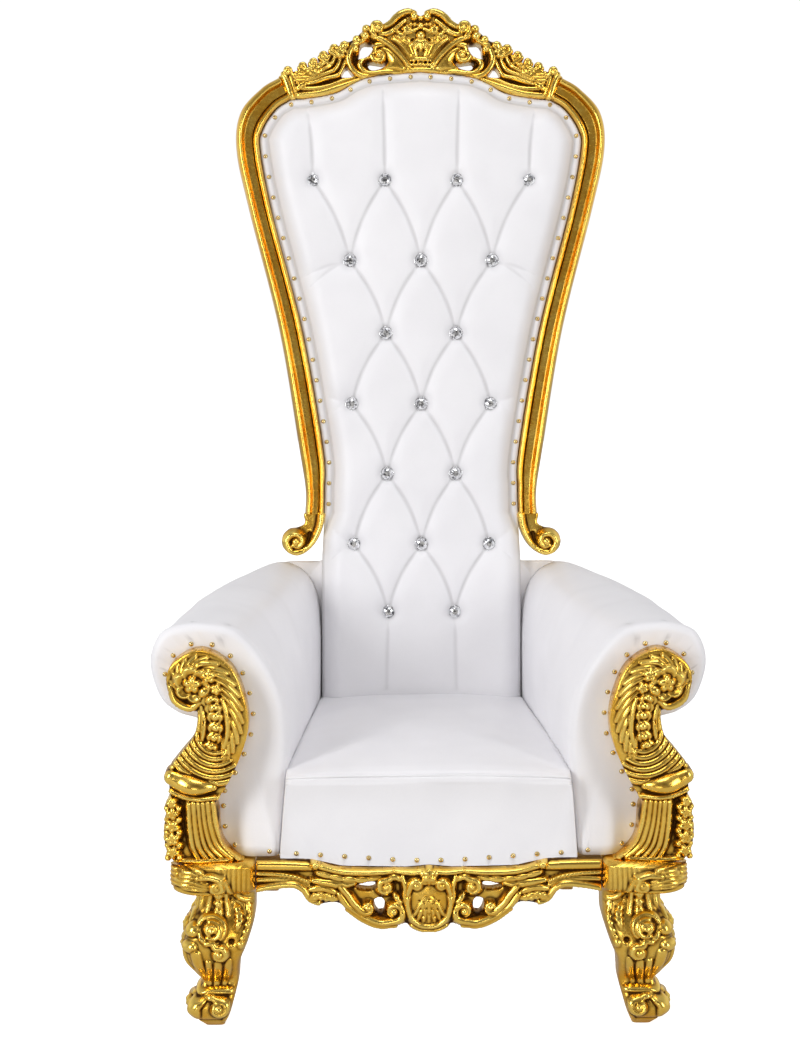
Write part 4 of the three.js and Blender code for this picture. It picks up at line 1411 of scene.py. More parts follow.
@dataclass
class Apron:
    """The front rail: a pierced apron with arched ends, scrolls and a shell in the middle."""

    plane: Plane
    back: float = -29.0
    half: float = 298.6
    pitch: float = 1.25

    LOWER = [(0, 169), (16, 169), (31, 174), (41, 182), (70, 176), (100, 183), (130, 202), (156, 219),
             (190, 219),
             (206, 226), (220, 245), (236, 253), (268, 251), (299, 243)]
    UPPER = [(299, 297), (215, 296.5), (190, 293), (150, 283.5), (40, 281.5), (0, 285)]
    OPENINGS = [
        [(93, 257), (92, 246), (103, 241), (124, 244), (126, 250), (108, 257)],
        [(84, 229), (95, 224), (93, 207), (85, 198), (78, 203), (77, 222)],
    ]
    STROKES = [  # every scroll, roll and leaf of the right half
        bead([(299, 288), (250, 287.5), (204, 286)], (8, 8.5, 7), (9, 9.5, 9), moat=1),
        bead([(299, 274), (262, 272), (232, 267), (208, 258)], (3.6, 4, 3.6), (7, 8, 8), twist=7, moat=2),
        bead([(299, 262), (262, 263), (228, 259), (200, 247)], (4, 5, 4), (6, 8, 7), moat=2),
        bead([(299, 246), (270, 252), (236, 255), (217, 246), (206, 230), (192, 223)], (5.5, 6, 6),
             (11, 13, 13), moat=3, proud=True),
        bead([(204, 230), (188, 236), (160, 229)], (6, 10, 4), (13, 16, 12), lobes=4, vein=2, moat=3,
             proud=True),
        bead([(204, 246), (182, 249), (160, 240)], (4, 6.5, 3.5), (11, 14, 11), vein=1.5, moat=3),
        bead([(196, 289), (150, 277), (98, 275), (58, 278)], (4.5, 5, 4), (12, 12, 10), moat=2, proud=True),
        bead([(192, 276), (150, 265), (112, 264), (84, 267)], (5, 6.5, 3.5), (12, 14, 10), vein=1.5, lobes=5,
             moat=3),
        bead([(200, 262), (172, 258), (150, 254), (130, 257)], (4, 7, 3.5), (11, 14, 11), moat=3),
        curled([(46, 262), (60, 268)], (75, 250), 14, 110, -400, (4.5, 6, 4), (10, 14, 14), moat=3,
               proud=True),
        curled([(154, 236), (142, 219), (125, 205), (104, 192), (84, 185)], (60, 206), 20, -70, -380,
               (6.5, 7, 4), (11, 15, 13), moat=3, proud=True),
        bead([(58, 179), (88, 179), (116, 191), (142, 209)], (3.5, 4.5, 3.5), (9, 11, 9), moat=2, proud=True),
        curled([(152, 250), (140, 236), (131, 222), (122, 213)], (107, 213), 11, -30, -330, (5.5, 6, 4),
               (13, 14, 14), moat=3),
        bead([(46, 268), (41, 248), (40, 226), (36, 206), (28, 188)], (3.5, 5, 4), (9, 13, 12), moat=3),
        bead([(60, 236), (52, 224), (46, 208)], (3.5, 5.5, 3), (9, 12, 10), lobes=3, vein=1),
        bead([(58, 278), (30, 275), (10, 277)], (3.5, 4, 4), (10, 12, 12), moat=2, proud=True),
    ]

    def _middle(self, relief: Relief) -> None:
        """The shell, its frame and the flower over it.

        Args:
            relief: The board.
        """
        relief.panel([(-30, 178), (16, 178), (32, 192), (38, 216), (36, 244), (16, 252), (-30, 252)], 8, 4)
        relief.shell((0, 246), 12, 62, -124, -56, 7, 14)
        relief.carve([
            bead([(35, 240), (37, 218), (31, 196), (16, 182), (-6, 178)], (4, 4.6, 4), (14, 15, 14), moat=3),
            curled([(37, 238), (33, 250)], (22, 254), 9, 10, 380, (4, 5, 3.6), (15, 18, 17), moat=3),
            bead([(-6, 171), (8, 171), (18, 173), (30, 180)], (3, 3.6, 3), (9, 9, 8), moat=2, proud=True),
        ])
        for x, y in ((0, 228), (9, 224), (5, 213), (14, 211), (0, 203), (9, 199), (17, 226)):
            relief.pit((x, y), 3.0, 3)
        relief.rose((0, 268), 13.5, 18, 30, proud=True)
        relief.knob((22, 254), 4.5, 19)

    def build(self) -> None:
        """Carves the right half and repeats it on the left."""
        relief = Relief((0, 162), (300.5, 302), self.pitch)
        relief.half_ground(np.vstack([smooth(self.LOWER), smooth(self.UPPER)]), 1.0)
        for opening in self.OPENINGS:
            relief.pierce(smooth(opening, closed=True, density=6))
        relief.carve(self.STROKES)
        for centre, radius, crest in (((75, 250), 5, 17), ((61, 206), 6, 17), ((106, 213), 4.5, 16),
                                      ((196, 290), 8, 15)):
            relief.knob(centre, radius, crest)
        self._middle(relief)
        relief.reach = np.maximum(relief.reach, relief.x - self.half)
        relief.mirrored()
        relief.soften(1)
        relief.body(self.back).piece("apron_carving", self.plane, GoldLeaf(), "front_rail")


@dataclass
class FrontLegs:
    """Scroll legs with corner blocks, alike on the front and the outer side."""

    plane: Plane
    corner: float = 53.0  # on the leg's diagonal, forward = x - corner
    around: int = 190
    rise: float = 1.4

    FACE = ((290, -4), (452, 302), 1.3)  # corners and pitch of the grid of one face
    TOP = 296.5
    SQUARE = 0.42  # how near the section is to a square: less is squarer
    ROWS = [  # height, inner face and outer face
        (TOP, 300, 436), (268, 299.5, 437), (252, 299.5, 430), (240, 300, 401), (215, 301, 400),
        (190, 302.5, 414), (153, 314, 423), (123, 326, 418), (98, 329.5, 402), (80, 331, 392),
        (62, 335, 402), (44, 340, 412), (24, 346, 412), (0, 356, 390),
    ]

    def _shoulder(self, relief: Relief) -> None:
        """The fan-shaped shell of the shoulder with its scroll, over the smooth inner block.

        Args:
            relief: The face.
        """
        relief.panel([(290, 220), (350, 226), (349, 262), (352, 310), (290, 310)], -7)
        for i in range(6):
            foot, tip = (375 + 1.5 * i, 258 + 5 * i), (437 - 5 * i, 263 + 7.5 * i)
            middle = ((foot[0] + tip[0]) / 2, (foot[1] + tip[1]) / 2 + 3 + i)
            relief.carve([bead([foot, middle, tip], (2.6, 4.4, 4.6), (5, 9, 7), drop=0.9, moat=4)])
        relief.carve([
            bead([(352, 250), (380, 250), (410, 253), (434, 262)], (6, 7.5, 6), (3, 8, 5), moat=4),
            curled([(396, 282), (374, 284), (356, 278)], (363, 265), 12, 130, 400, (4, 5.5, 4), (8, 11, 11),
                   moat=4),
            *[bead([(306 + 9 * i, 300), (307 + 9 * i, 270), (309 + 8.5 * i, 232)], (3.4, 4.0, 3),
                   (-3.5, -3, -4),
                   moat=3) for i in range(5)],
            bead([(300, 226), (322, 230), (338, 246), (350, 276)], (3.6, 4.2, 3.6), (0, 2, 3), moat=4),
        ])
        relief.knob((363, 265), 5.5, 12)

    def _knee(self, relief: Relief) -> None:
        """The beaded strip, the rose and the leaves of the knee.

        Args:
            relief: The face.
        """
        relief.carve([
            bead([(350, 238), (349, 222), (346, 206)], (3, 3.6, 3), (2, 4, 4), moat=3),
            bead([(377, 238), (380, 222), (384, 206)], (3, 3.6, 3), (2, 4, 4), moat=3),
        ])
        for y, size in ((236, 6), (224, 6.5), (211, 7)):
            relief.flower((363, y), size, 7, y)
        relief.carve([
            bead([(392, 236), (398, 220), (408, 206)], (4, 7.5, 4), (2, 8, 4), moat=4),
            bead([(312, 222), (305, 204), (309, 182), (322, 158)], (5, 10, 5), (2, 9, 4), lobes=5, vein=3,
                 moat=4),
            bead([(333, 222), (327, 204), (330, 184)], (3.5, 7, 4), (2, 8, 4), lobes=4, vein=2, moat=4),
        ])
        middle = (374, 183)
        for reach, start, turn, width, crest in ((24, 20, 205, 5.0, 7), (24, 245, 120, 4.6, 6),
                                                 (15.5, 70, 230, 4.6, 9),
                                                 (8, -60, 260, 4.2, 11)):
            ring = spiral(middle, reach, reach * 0.9, start, turn)
            relief.carve([Stroke(ring, (width * 0.5, width, width * 0.5), (crest - 2, crest, crest - 2),
                                 drop=0.9, moat=4)])
        relief.knob(middle, 5, 12)
        relief.knob((409, 183), 15, 9)
        relief.knob((410, 152), 12, 8)
        relief.pit((340, 162), 8, 8)
        relief.knob((322, 156), 8, 7)

    def _shaft(self, relief: Relief) -> None:
        """The volute, the long flutes of the shaft and the scrolled foot.

        Args:
            relief: The face.
        """
        relief.carve([
            curled([(384, 160), (372, 161)], (361, 141), 14, 60, 400, (4, 5.5, 4), (6, 10, 10), moat=4),
            bead([(402, 140), (396, 112), (390, 88), (392, 70)], (9, 8, 7), (5, 6, 3), drop=0.5, moat=3.5),
            bead([(381, 124), (380, 104), (381, 78)], (4.5, 5, 4.5), (4, 5, 3), drop=0.5, moat=3.5),
            bead([(364, 122), (366, 100), (369, 76)], (6, 6.5, 5.5), (4, 5.5, 3), drop=0.5, moat=3.5),
            bead([(345, 128), (349, 102), (355, 78)], (5, 5.5, 4.5), (3, 4.5, 2), drop=0.5, moat=3.5),
            bead([(334, 66), (366, 68), (400, 64)], (4.5, 6, 4.5), (3, 7, 4), moat=4),
            curled([(392, 56), (378, 58)], (364, 40), 16, 70, 420, (4.5, 6.5, 4), (6, 11, 11), moat=4),
            bead([(390, 54), (404, 42), (402, 22)], (6, 9, 6), (4, 9, 4), moat=4),
            bead([(342, 40), (346, 24), (356, 12)], (4, 6.5, 4), (3, 6, 3), moat=3),
        ])
        relief.knob((361, 141), 6, 12)
        relief.knob((364, 40), 6.5, 13)
        relief.groove(np.array([(335.0, 15.0), (420.0, 15.0)]), 2.6, 3)

    def _relief(self) -> Relief:
        """The carving of one face, as heights off it.

        Returns:
            The carved face.
        """
        relief = Relief(*self.FACE)
        self._shoulder(relief)
        self._knee(relief)
        self._shaft(relief)
        relief.soften(1)
        return relief

    def _shape(self) -> Shape:
        """The leg as rings from its top down, with the carving laid on its two faces.

        Returns:
            The right leg.
        """
        relief = self._relief()
        # How sunk the carving is, sampled onto the leg for its painted shade and painted highlight.
        sunk = Relief(*self.FACE)
        sunk.height = relief.recess()
        heights = np.arange(self.TOP, -0.1, -self.rise)
        heights[-1] = 0.0
        inner, outer = (profile(self.ROWS, column, heights) for column in (1, 2))
        carved = int(self.around * 0.68)
        turn = np.linspace(-math.pi / 4, 7 * math.pi / 4, 40001)
        fine = np.stack([np.cos(turn), np.sin(turn)], 1)
        fine = np.sign(fine) * np.abs(fine) ** self.SQUARE
        run = lengths_along(fine)
        marks = np.concatenate([
            np.linspace(0, run[-1] / 2, carved, endpoint=False),
            np.linspace(run[-1] / 2, run[-1], self.around - carved, endpoint=False),
        ])
        cx, cz = (np.interp(marks, run, values) for values in fine.T)
        nx, nz = (np.sign(c) * np.abs(c) ** (2 / self.SQUARE - 1) for c in (cx, cz))
        norm = np.hypot(nx, nz)
        nx, nz = nx / norm, nz / norm
        half, middle = (outer - inner) / 2, (outer + inner) / 2
        x = middle[:, None] + half[:, None] * cx
        deep = middle[:, None] + half[:, None] * cz
        level = np.broadcast_to(heights[:, None], x.shape)
        front, side = np.clip(nz, 0, 1) ** 2, np.clip(nx, 0, 1) ** 2
        lift = front * relief.sample(x, level) + side * relief.sample(deep, level)
        recess = front * sunk.sample(x, level) + side * sunk.sample(deep, level)
        rings = np.stack([x + lift * nx, level, deep + lift * nz - self.corner], 2)
        rings[0, :, 1], rings[-1, :, 1] = self.TOP, 0.0
        return lofted(rings[:, ::-1], recess[:, ::-1])

    def build(self) -> None:
        """Makes the right leg and mirrors it."""
        pair(self._shape(), "leg_carving", self.plane, GoldLeaf(), "front_leg")


# ---- The upholstery ----


class Skin:
    """A grid of points wrapped round a soft form, pressed in or out along its normals."""

    FOLD_REACH = 30.0  # how far from its line a fold can act

    def __init__(self, rings: Array) -> None:
        """Starts from rings by rows, each of the same number of points."""
        self.rings = rings

    def normals(self) -> Array:
        """The outward direction at every point, for rings that run clockwise seen from their first.

        Returns:
            A unit direction for each point.
        """
        down = np.gradient(self.rings, axis=0)
        wide = np.concatenate([self.rings[:, -1:], self.rings, self.rings[:, :1]], 1)
        out = np.cross(wide[:, 2:] - wide[:, :-2], down)
        return out / np.maximum(np.linalg.norm(out, axis=2), 1e-9)[..., None]

    def press(self, depth: Array) -> None:
        """Moves every point inwards by its depth."""
        self.rings = self.rings - self.normals() * depth[..., None]

    def folds(self, start: Three, end: Three, width: float, depth: float) -> Array:
        """The depth of a fold along a line, fading to its ends.

        Args:
            start: Where the fold begins.
            end: Where it fades out.
            width: Its half width.
            depth: Its depth at the start.

        Returns:
            A depth for every point.
        """
        a, b = np.array(start, float), np.array(end, float)
        along = b - a
        length = np.linalg.norm(along)
        part = ((self.rings - a) @ along) / length**2
        held = np.clip(part, 0, 1)
        distance = np.linalg.norm(self.rings - a - held[..., None] * along, axis=2)
        sharp = np.exp(-((distance / width) ** 2)) + 0.4 * np.exp(-((distance / (3 * width)) ** 2))
        return depth * sharp * (1 - held) ** 0.6 * (distance < self.FOLD_REACH)


@dataclass
class BackPad:
    """The inside back: a crowned pad in a nailed border, drawn in at the buttons."""

    plane: Plane
    pitch: float = 2.45
    back: float = -20.0
    band: float = 15.0
    border: float = 4.0
    crown: float = 34.0
    pit: float = 15.0

    ROWS = [(1466, (1, 3)), (1309, (0, 2)), (1167, (1,)), (1029, (0, 2)), (892, (1,)), (754, (0, 2)),
            (620, (1,))]
    FOOT = [(198.5, 716), (198.5, 446)]

    def place(self, column: float, height: float) -> Pair:
        """Where a column of buttons stands at a height."""
        return (column * np.interp(height, [620, 1466], [66, 71]), height)

    @staticmethod
    def _signed(columns: Sequence[int]) -> list[int]:
        """Columns on both sides, from left to right."""
        return sorted({side * column for column in columns for side in (-1, 1)})

    def buttons(self) -> list[Pair]:
        """Every button's place, row by row."""
        return [self.place(column, row) for row, columns in self.ROWS for column in self._signed(columns)]

    def outline(self) -> Array:
        """The outline of the right half, from the top down."""
        return np.vstack([smooth(Crest.OGEE), smooth(Stiles.INNER)[1:], self.FOOT])

    def _creases(self) -> list[tuple[Array, float]]:
        """The folds of the right half, with how deep each is drawn.

        Returns:
            Paths with their strengths.
        """
        folds: list[tuple[Array, float]] = []
        for (upper, above), (lower, below) in zip(self.ROWS, self.ROWS[1:]):
            for a in self._signed(above):
                for b in self._signed(below):
                    if abs(a - b) == 1 and a + b > -2:
                        (ax, ay), (bx, by) = self.place(a, upper), self.place(b, lower)
                        sway = 7 * (1 if b > a else -1)
                        points = [(ax, ay), (ax * 0.62 + bx * 0.38 + sway, ay * 0.66 + by * 0.34),
                                  (ax * 0.3 + bx * 0.7 + sway, ay * 0.33 + by * 0.67), (bx, by)]
                        folds.append((smooth(points, density=4), 1.0))
        for column, top in ((1, (76, 1668)), (-1, (-76, 1668)), (3, (236, 1622))):
            x, y = self.place(column, 1466)
            folds.append((smooth([(x, y), (x * 1.01, y + 70), (x * 0.55 + top[0] * 0.45, y + 130), top],
                                 density=4), 0.75))
        for column in (1, -1):
            x, y = self.place(column, 620)
            folds.append((smooth([(x, y), (x * 1.02, y - 60), (x * 1.05, y - 150)], density=4), 0.45))
        for row, shifts in ((1309, ((80, -52), (96, -34))), (1029, ((52, -22), (48, 14))),
                            (754, ((50, -34), (44, 30)))):
            x, y = self.place(2, row)
            for dx, dy in shifts:
                folds.append((smooth([(x, y), (x + dx * 0.5, y + dy * 0.38), (x + dx, y + dy)], density=4),
                              0.5))
        return folds

    def build(self) -> None:
        """Makes the pad."""
        relief = Relief((0, 440), (325, 1684), self.pitch)
        relief.half_ground(self.outline(), 0)
        relief.reach += 1.0
        depth = -relief.reach
        band = np.interp(relief.y, [770, 815], [1.0, self.band])
        aside, _, _ = relief.nearest(self.outline())
        rise = np.clip((np.minimum(aside, depth + 40) - band) / 46, 0, 1)
        dome = self.border - 1 + (self.crown - self.border) * (1 - (1 - rise) ** 2.4)
        dip = np.zeros_like(dome)
        for path, strength in self._creases():
            distance, along, _ = relief.nearest(path)
            length = np.hypot(*np.diff(path, axis=0).T).sum()
            t = np.clip(along / length, 0, 1)
            ends = np.abs(2 * t - 1) ** 1.6 if strength == 1.0 else (1 - t) ** 0.9
            fold = 9.5 * np.exp(-((distance / 17) ** 2)) + 5.0 * np.exp(-((distance / 2.6) ** 2))
            dip = np.hypot(dip, strength * fold * (0.55 + 0.45 * ends))
        for x, y in self.buttons():
            if x > -60:
                away = np.hypot(relief.x - x, relief.y - y)
                near = (self.crown - self.pit) * np.exp(-((away / 17) ** 1.25))
                dip = np.hypot(dip, near)
        height = dome - dip * np.clip(rise * 2.2, 0, 1)
        seam = np.exp(-(((depth - band) / 2.2) ** 2)) * (relief.y > 770)
        relief.height = height - 2.4 * seam
        relief.height = np.where(depth < band, self.border - 1.6 * seam, relief.height)
        relief.mirrored()
        relief.soften(1)
        made = relief.body(self.back, roll=2.5).piece("back_upholstery", self.plane, WhiteLeather(),
                                                      "back_cushion")


@dataclass
class Buttons:
    """Cut-crystal buttons in bright cups, with their girdles facetted."""

    plane: Plane
    pad: BackPad
    radius: float = 12.0

    def _cut(self, x: float, y: float, base: float) -> tuple[Shape, Shape]:
        """One crystal and the cup behind it.

        Args:
            x, y: The button's place.
            base: The level that it is set at.

        Returns:
            The crystal and the cup.
        """
        sides = 12
        levels = ((0.15, 0.6), (0.62, 3.0), (1.0, 6.2), (0.97, 7.4), (0.74, 10.2), (0.46, 11.9))
        rings = [disc((x, y), self.radius * reach, base + forward, sides, (i % 2) * 0.5)
                 for i, (reach, forward) in enumerate(levels)]
        count = len(rings)
        points = np.vstack(rings)
        faces: list[list[int]] = []
        for row in range(count - 1):
            for i in range(sides):
                a, b = row * sides + i, row * sides + (i + 1) % sides
                c, d = a + sides, b + sides
                faces += [[a, b, c], [b, d, c]] if row % 2 == 0 else [[a, b, d], [a, d, c]]
        faces += [list(range(sides))[::-1], [(count - 1) * sides + i for i in range(sides)]]
        crystal = Shape(points, faces)
        bowl = ((0.2, -1.6), (0.8, 0.8), (1.12, 4.4), (1.1, 5.6), (0.98, 5.2), (0.6, 2.2), (0.13, 0.2))
        cup = [disc((x, y), self.radius * reach, base + forward, 20) for reach, forward in bowl]
        return crystal, lofted(np.array(cup))

    def build(self) -> None:
        """Makes every button over its own solid."""
        for i, (x, y) in enumerate(self.pad.buttons()):
            crystal, cup = self._cut(x, y, self.pad.pit - 1)
            crystal.piece(f"crystal_{i + 1:02d}", self.plane, Crystal(), f"back_button_{i + 1:02d}",
                          smooth_faces=False)
            cup.piece(f"cup_{i + 1:02d}", self.plane, Foil(name="cup_foil", bright=(0.86, 0.87, 0.88),
                                                           tarnish=(0.5, 0.5, 0.52)))


@dataclass
class Arms:
    """The rolled arms: flared forwards, with soft pleats where the leather turns over the front."""

    plane: Plane
    face: float = ARM_FACE
    round: float = 15.0
    rear: float = -20.0  # from the plane of the back

    OUTLINE = [
        ((260, ARM_LOW), (REAR_HALF, ARM_LOW)), ((250, 420), (REAR_HALF, 420)),
        ((243, 500), (REAR_HALF, 500)), ((252, 575), (REAR_HALF, 590)), ((283, 640), (206, 650)),
        ((330, 692), (230, 694)), ((385, 705), (264, 714)), ((430, 702), (300, 711)),
        ((460, 688), (322, 696)), ((477, 655), (336, 668)), ((478, 618), (335, 640)),
        ((462, 572), (322, 613)), ((432, 547), (308, 600)), ((392, 533), (305, 590)),
        ((384, 500), (305, 560)), ((384, ARM_LOW), (305, ARM_LOW)),
    ]
    INNER_POINTS = 6  # of the outline, that keep straight from front to rear
    FLARE = [(0, 1), (0.05, 0.96), (0.12, 0.91), (0.28, 0.83), (0.45, 0.74), (0.62, 0.59), (0.8, 0.35),
             (1, 0)]
    HEART = (330.0, 560.0)  # the middle of the front face

    def _rear_face(self, height: Array) -> Array:
        """How far forward the arm's rear end is at a height."""
        return self.rear / math.cos(LEAN) - BACK_FOOT - height * math.tan(LEAN)

    @staticmethod
    def swell(x: Array, height: Array) -> Array:
        """How far the front comes forward beside the foot of the facing."""
        aside, low = np.clip((352 - x) / 45, 0, 1), np.clip((395 - height) / 90, 0, 1)
        return 20 * (aside * aside * (3 - 2 * aside)) * (low * low * (3 - 2 * low))

    def _ring(self, back: float) -> Array:
        """The arm's section at a share of its length from the front.

        Args:
            back: The share, 0 at the front.

        Returns:
            The ring's points.
        """
        flare = float(np.interp(back, *np.array(self.FLARE).T))
        points = []
        for i, (fore, rear) in enumerate(self.OUTLINE):
            blend = 1 - back if i < self.INNER_POINTS or i == len(self.OUTLINE) - 1 else flare
            points.append([rear[k] + (fore[k] - rear[k]) * blend for k in (0, 1)])
        flat = smooth(points, density=9)
        flat = np.vstack([flat, np.linspace(flat[-1], flat[0], 10)[1:-1]])
        front = self.face + self.swell(flat[:, 0], flat[:, 1])
        forward = front + (self._rear_face(flat[:, 1]) - front) * back
        return np.column_stack([flat, forward])

    def _shape(self) -> Shape:
        """The arm with its rounded front and pleats.

        Returns:
            The right arm.
        """
        first = self._ring(0.0)
        wide = np.vstack([first[-1:], first, first[:1]])[:, :2]
        tangent = wide[2:] - wide[:-2]
        tangent /= np.linalg.norm(tangent, axis=1)[:, None]
        inward = np.stack([tangent[:, 1], -tangent[:, 0]], 1)
        rings = []
        for turn in np.radians([0, 14, 28, 42, 56, 70, 82]):
            ring = first.copy()
            inset = self.round * (1 - math.sin(turn))
            ring[:, :2] += inward * inset
            foot = first[:, 1] < 300.5
            low, high = first[foot, 0].min(), first[foot, 0].max()
            ring[foot] = first[foot]
            ring[foot, 0] = np.interp(first[foot, 0], (low, high), (low + inset, high - inset))
            ring[:, 2] = self.face + self.swell(ring[:, 0], ring[:, 1]) - self.round * (1 - math.cos(turn))
            rings.append(ring)
        rim = rings[0]
        for share in (0.93, 0.8, 0.62, 0.42, 0.22, 0.04):
            ring = rim.copy()
            ring[:, :2] = self.HEART + (rim[:, :2] - self.HEART) * share
            ring[:, 2] = self.face + self.swell(ring[:, 0], ring[:, 1])
            rings.insert(0, ring)
        length = self.face - self._rear_face(np.array(500.0))
        for back in np.linspace(self.round / length, 1, 74):
            rings.append(self._ring(float(back)))
        skin = Skin(np.array(rings))
        depth = np.zeros(skin.rings.shape[:2])
        for start, end, strong in (
            ((430, 672, 300), (452, 704, 250), 2.2), ((352, 668, 300), (332, 700, 242), 2.6),
            ((392, 682, 300), (398, 712, 262), 1.5), ((456, 640, 300), (486, 645, 262), 2.0),
            ((450, 600, 300), (478, 590, 266), 1.8), ((322, 640, 300), (288, 655, 262), 1.2),
        ):
            depth += skin.folds(start, end, 3.0, strong)
        x, y, forward = skin.rings[..., 0], skin.rings[..., 1], skin.rings[..., 2]
        depth += (
            0.9 * np.sin(x / 37 + forward / 61) * np.sin(y / 53 + forward / 44)
            * np.clip((y - 330) / 80, 0, 1)
        )
        skin.press(depth)
        # The deeper pleats carry painted shade into the leather's colour.
        return lofted(skin.rings[:, ::-1], np.clip((depth - 0.8) / 1.2, 0, 1))

    def build(self) -> None:
        """Makes the right arm and its mirror image."""
        for made in pair(self._shape(), "arm_upholstery", self.plane, WhiteLeather(), "arm"):
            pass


@dataclass
class Seat:
    """The seat: a crowned boxed pad with a welted front edge and an upright border."""

    plane: Plane
    arms: Arms
    gap: float = 1.0  # to each arm
    low: float = 297.4

    CREST = [(0, 285), (40, 281.5), (150, 283.5), (190, 293), (215, 296.5), (262, 297)]  # of the front rail
    STATIONS = [  # distance forward, height of the side seams, height of the crown, and tuck
        (325, 415, 415, 6), (325.5, 428, 430, 2), (324, 436, 438.5, 1), (319, 440, 444, 0.5),
        (315, 438.5, 443, 0.8), (310, 442, 448, 0), (296, 445, 454, 0), (260, 447, 460, 0),
        (180, 449, 467, 0), (60, 451, 471, 0), (-60, 452, 471, 0), (-140, 452, 467, 0), (-180, 452, 464, 0),
        (-213, 452, 461, 0),
    ]

    def _half(self, forward: float, height: float) -> float:
        """The half width between the arms.

        Args:
            forward: How far forward.
            height: The height.

        Returns:
            The half width there.
        """
        fore = float(np.interp(height, [ARM_LOW, 420, 500], [260, 250, 243]))
        length = self.arms.face + BACK_FOOT - self.arms.rear + ARM_LOW * math.tan(LEAN)
        share = float(np.clip((self.arms.face - forward) / length, 0, 1))
        return fore + (REAR_HALF - fore) * share - self.gap

    def _ring(self, forward: float, seam: float, crown: float, tuck: float) -> Array:
        """One section from side to side over the top, then back underneath.

        Args:
            forward: How far forward.
            seam, crown: Heights of the side seams and of the middle.
            tuck: How much narrower it is.

        Returns:
            The ring's points.
        """
        across = np.linspace(-1, 1, 61)
        half = self._half(forward, seam) - tuck
        over = np.column_stack([across * half, seam + (crown - seam) * (1 - np.abs(across) ** 3.2)])
        foot = self._half(forward, self.low) - tuck
        side = np.column_stack([np.linspace(half, foot, 16)[1:], np.linspace(seam, self.low, 16)[1:]])
        crest = np.array(self.CREST)
        below_x = np.linspace(foot, -foot, 41)[1:-1]
        below = np.column_stack([below_x, np.interp(np.abs(below_x), crest[:, 0], crest[:, 1]) + 0.4])
        other = side[::-1] * (-1, 1)
        flat = np.vstack([over, side, below, other[:-1]])
        return np.column_stack([flat, np.full(len(flat), forward)])

    def build(self) -> None:
        """Makes the seat."""
        table = np.array(self.STATIONS, float)
        count = np.arange(len(table))
        places = np.linspace(0, count[-1], 4 * count[-1] + 1)
        rings = [self._ring(*[float(np.interp(place, count,
                                              column)) for column in table.T]) for place in places]
        skin = Skin(np.array(rings))
        x, y, forward = skin.rings[..., 0], skin.rings[..., 1], skin.rings[..., 2]
        depth = 1.2 * np.sin(x / 63 + 0.6) * np.sin(forward / 71) * (y > 430)
        for start, end, strong in (
            ((-250, 440, 322), (-150, 470, 230), 1.4), ((250, 440, 322), (160, 470, 240), 1.4),
            ((248, 425, 324), (190, 360, 324), 1.0), ((-248, 425, 324), (-180, 350, 324), 1.0),
        ):
            depth += skin.folds(start, end, 6.0, strong)
        skin.press(depth)
        made = lofted(skin.rings).piece("seat_upholstery", self.plane, WhiteLeather(), "seat_cushion")
        self._welt(self._half(320, 438))

    def _welt(self, half: float) -> None:
        """The piped seam along the front edge.

        Args:
            half: The half width of the edge.
        """
        xs = np.linspace(-half + 2, half - 2, 80)
        u = np.abs(xs) / half
        middle = np.stack([xs, 438.6 + 4.4 * (1 - u**3.2), np.full(80, 320.5)], 1)
        turn = 2 * math.pi * np.arange(10) / 10
        rings = middle[:, None] + 2.6 * np.stack([np.zeros(10), np.cos(turn), np.sin(turn)], 1)[None]
        lofted(rings).piece("seat_welt", self.plane, WhiteLeather())


@dataclass
class OutsideBack:
    """The outside back: a plain leather panel, seamed round its edge."""

    plane: Plane
    pitch: float = 6.0

    def build(self) -> None:
        """Makes the panel."""
        rear = [rear for _, rear in Arms.OUTLINE[7:-1]][::-1]
        side = [(305, 305.5), *rear, (262, 719.5), (198.5, 719.5)]
        outline = np.vstack([side, smooth(Stiles.INNER)[::-1][:-1], smooth(Crest.OGEE)[::-1]])
        relief = Relief((0, 300), (345, 1690), self.pitch)
        relief.half_ground(outline, 0)
        relief.reach += 1.0
        depth = np.clip(-relief.reach, 0, 60)
        seam = 1.2 * np.exp(-(((depth - 12) / 3) ** 2))
        relief.height = 38.5 + 1.5 * np.sin(depth / 60 * math.pi / 2) - seam
        relief.mirrored()
        shape = relief.body(20.4, roll=3)
        shape = Shape(shape.points * (1, 1, -1), [face[::-1] for face in shape.faces])
        shape.piece("outside_back_panel", self.plane, WhiteLeather(), "outside_back")


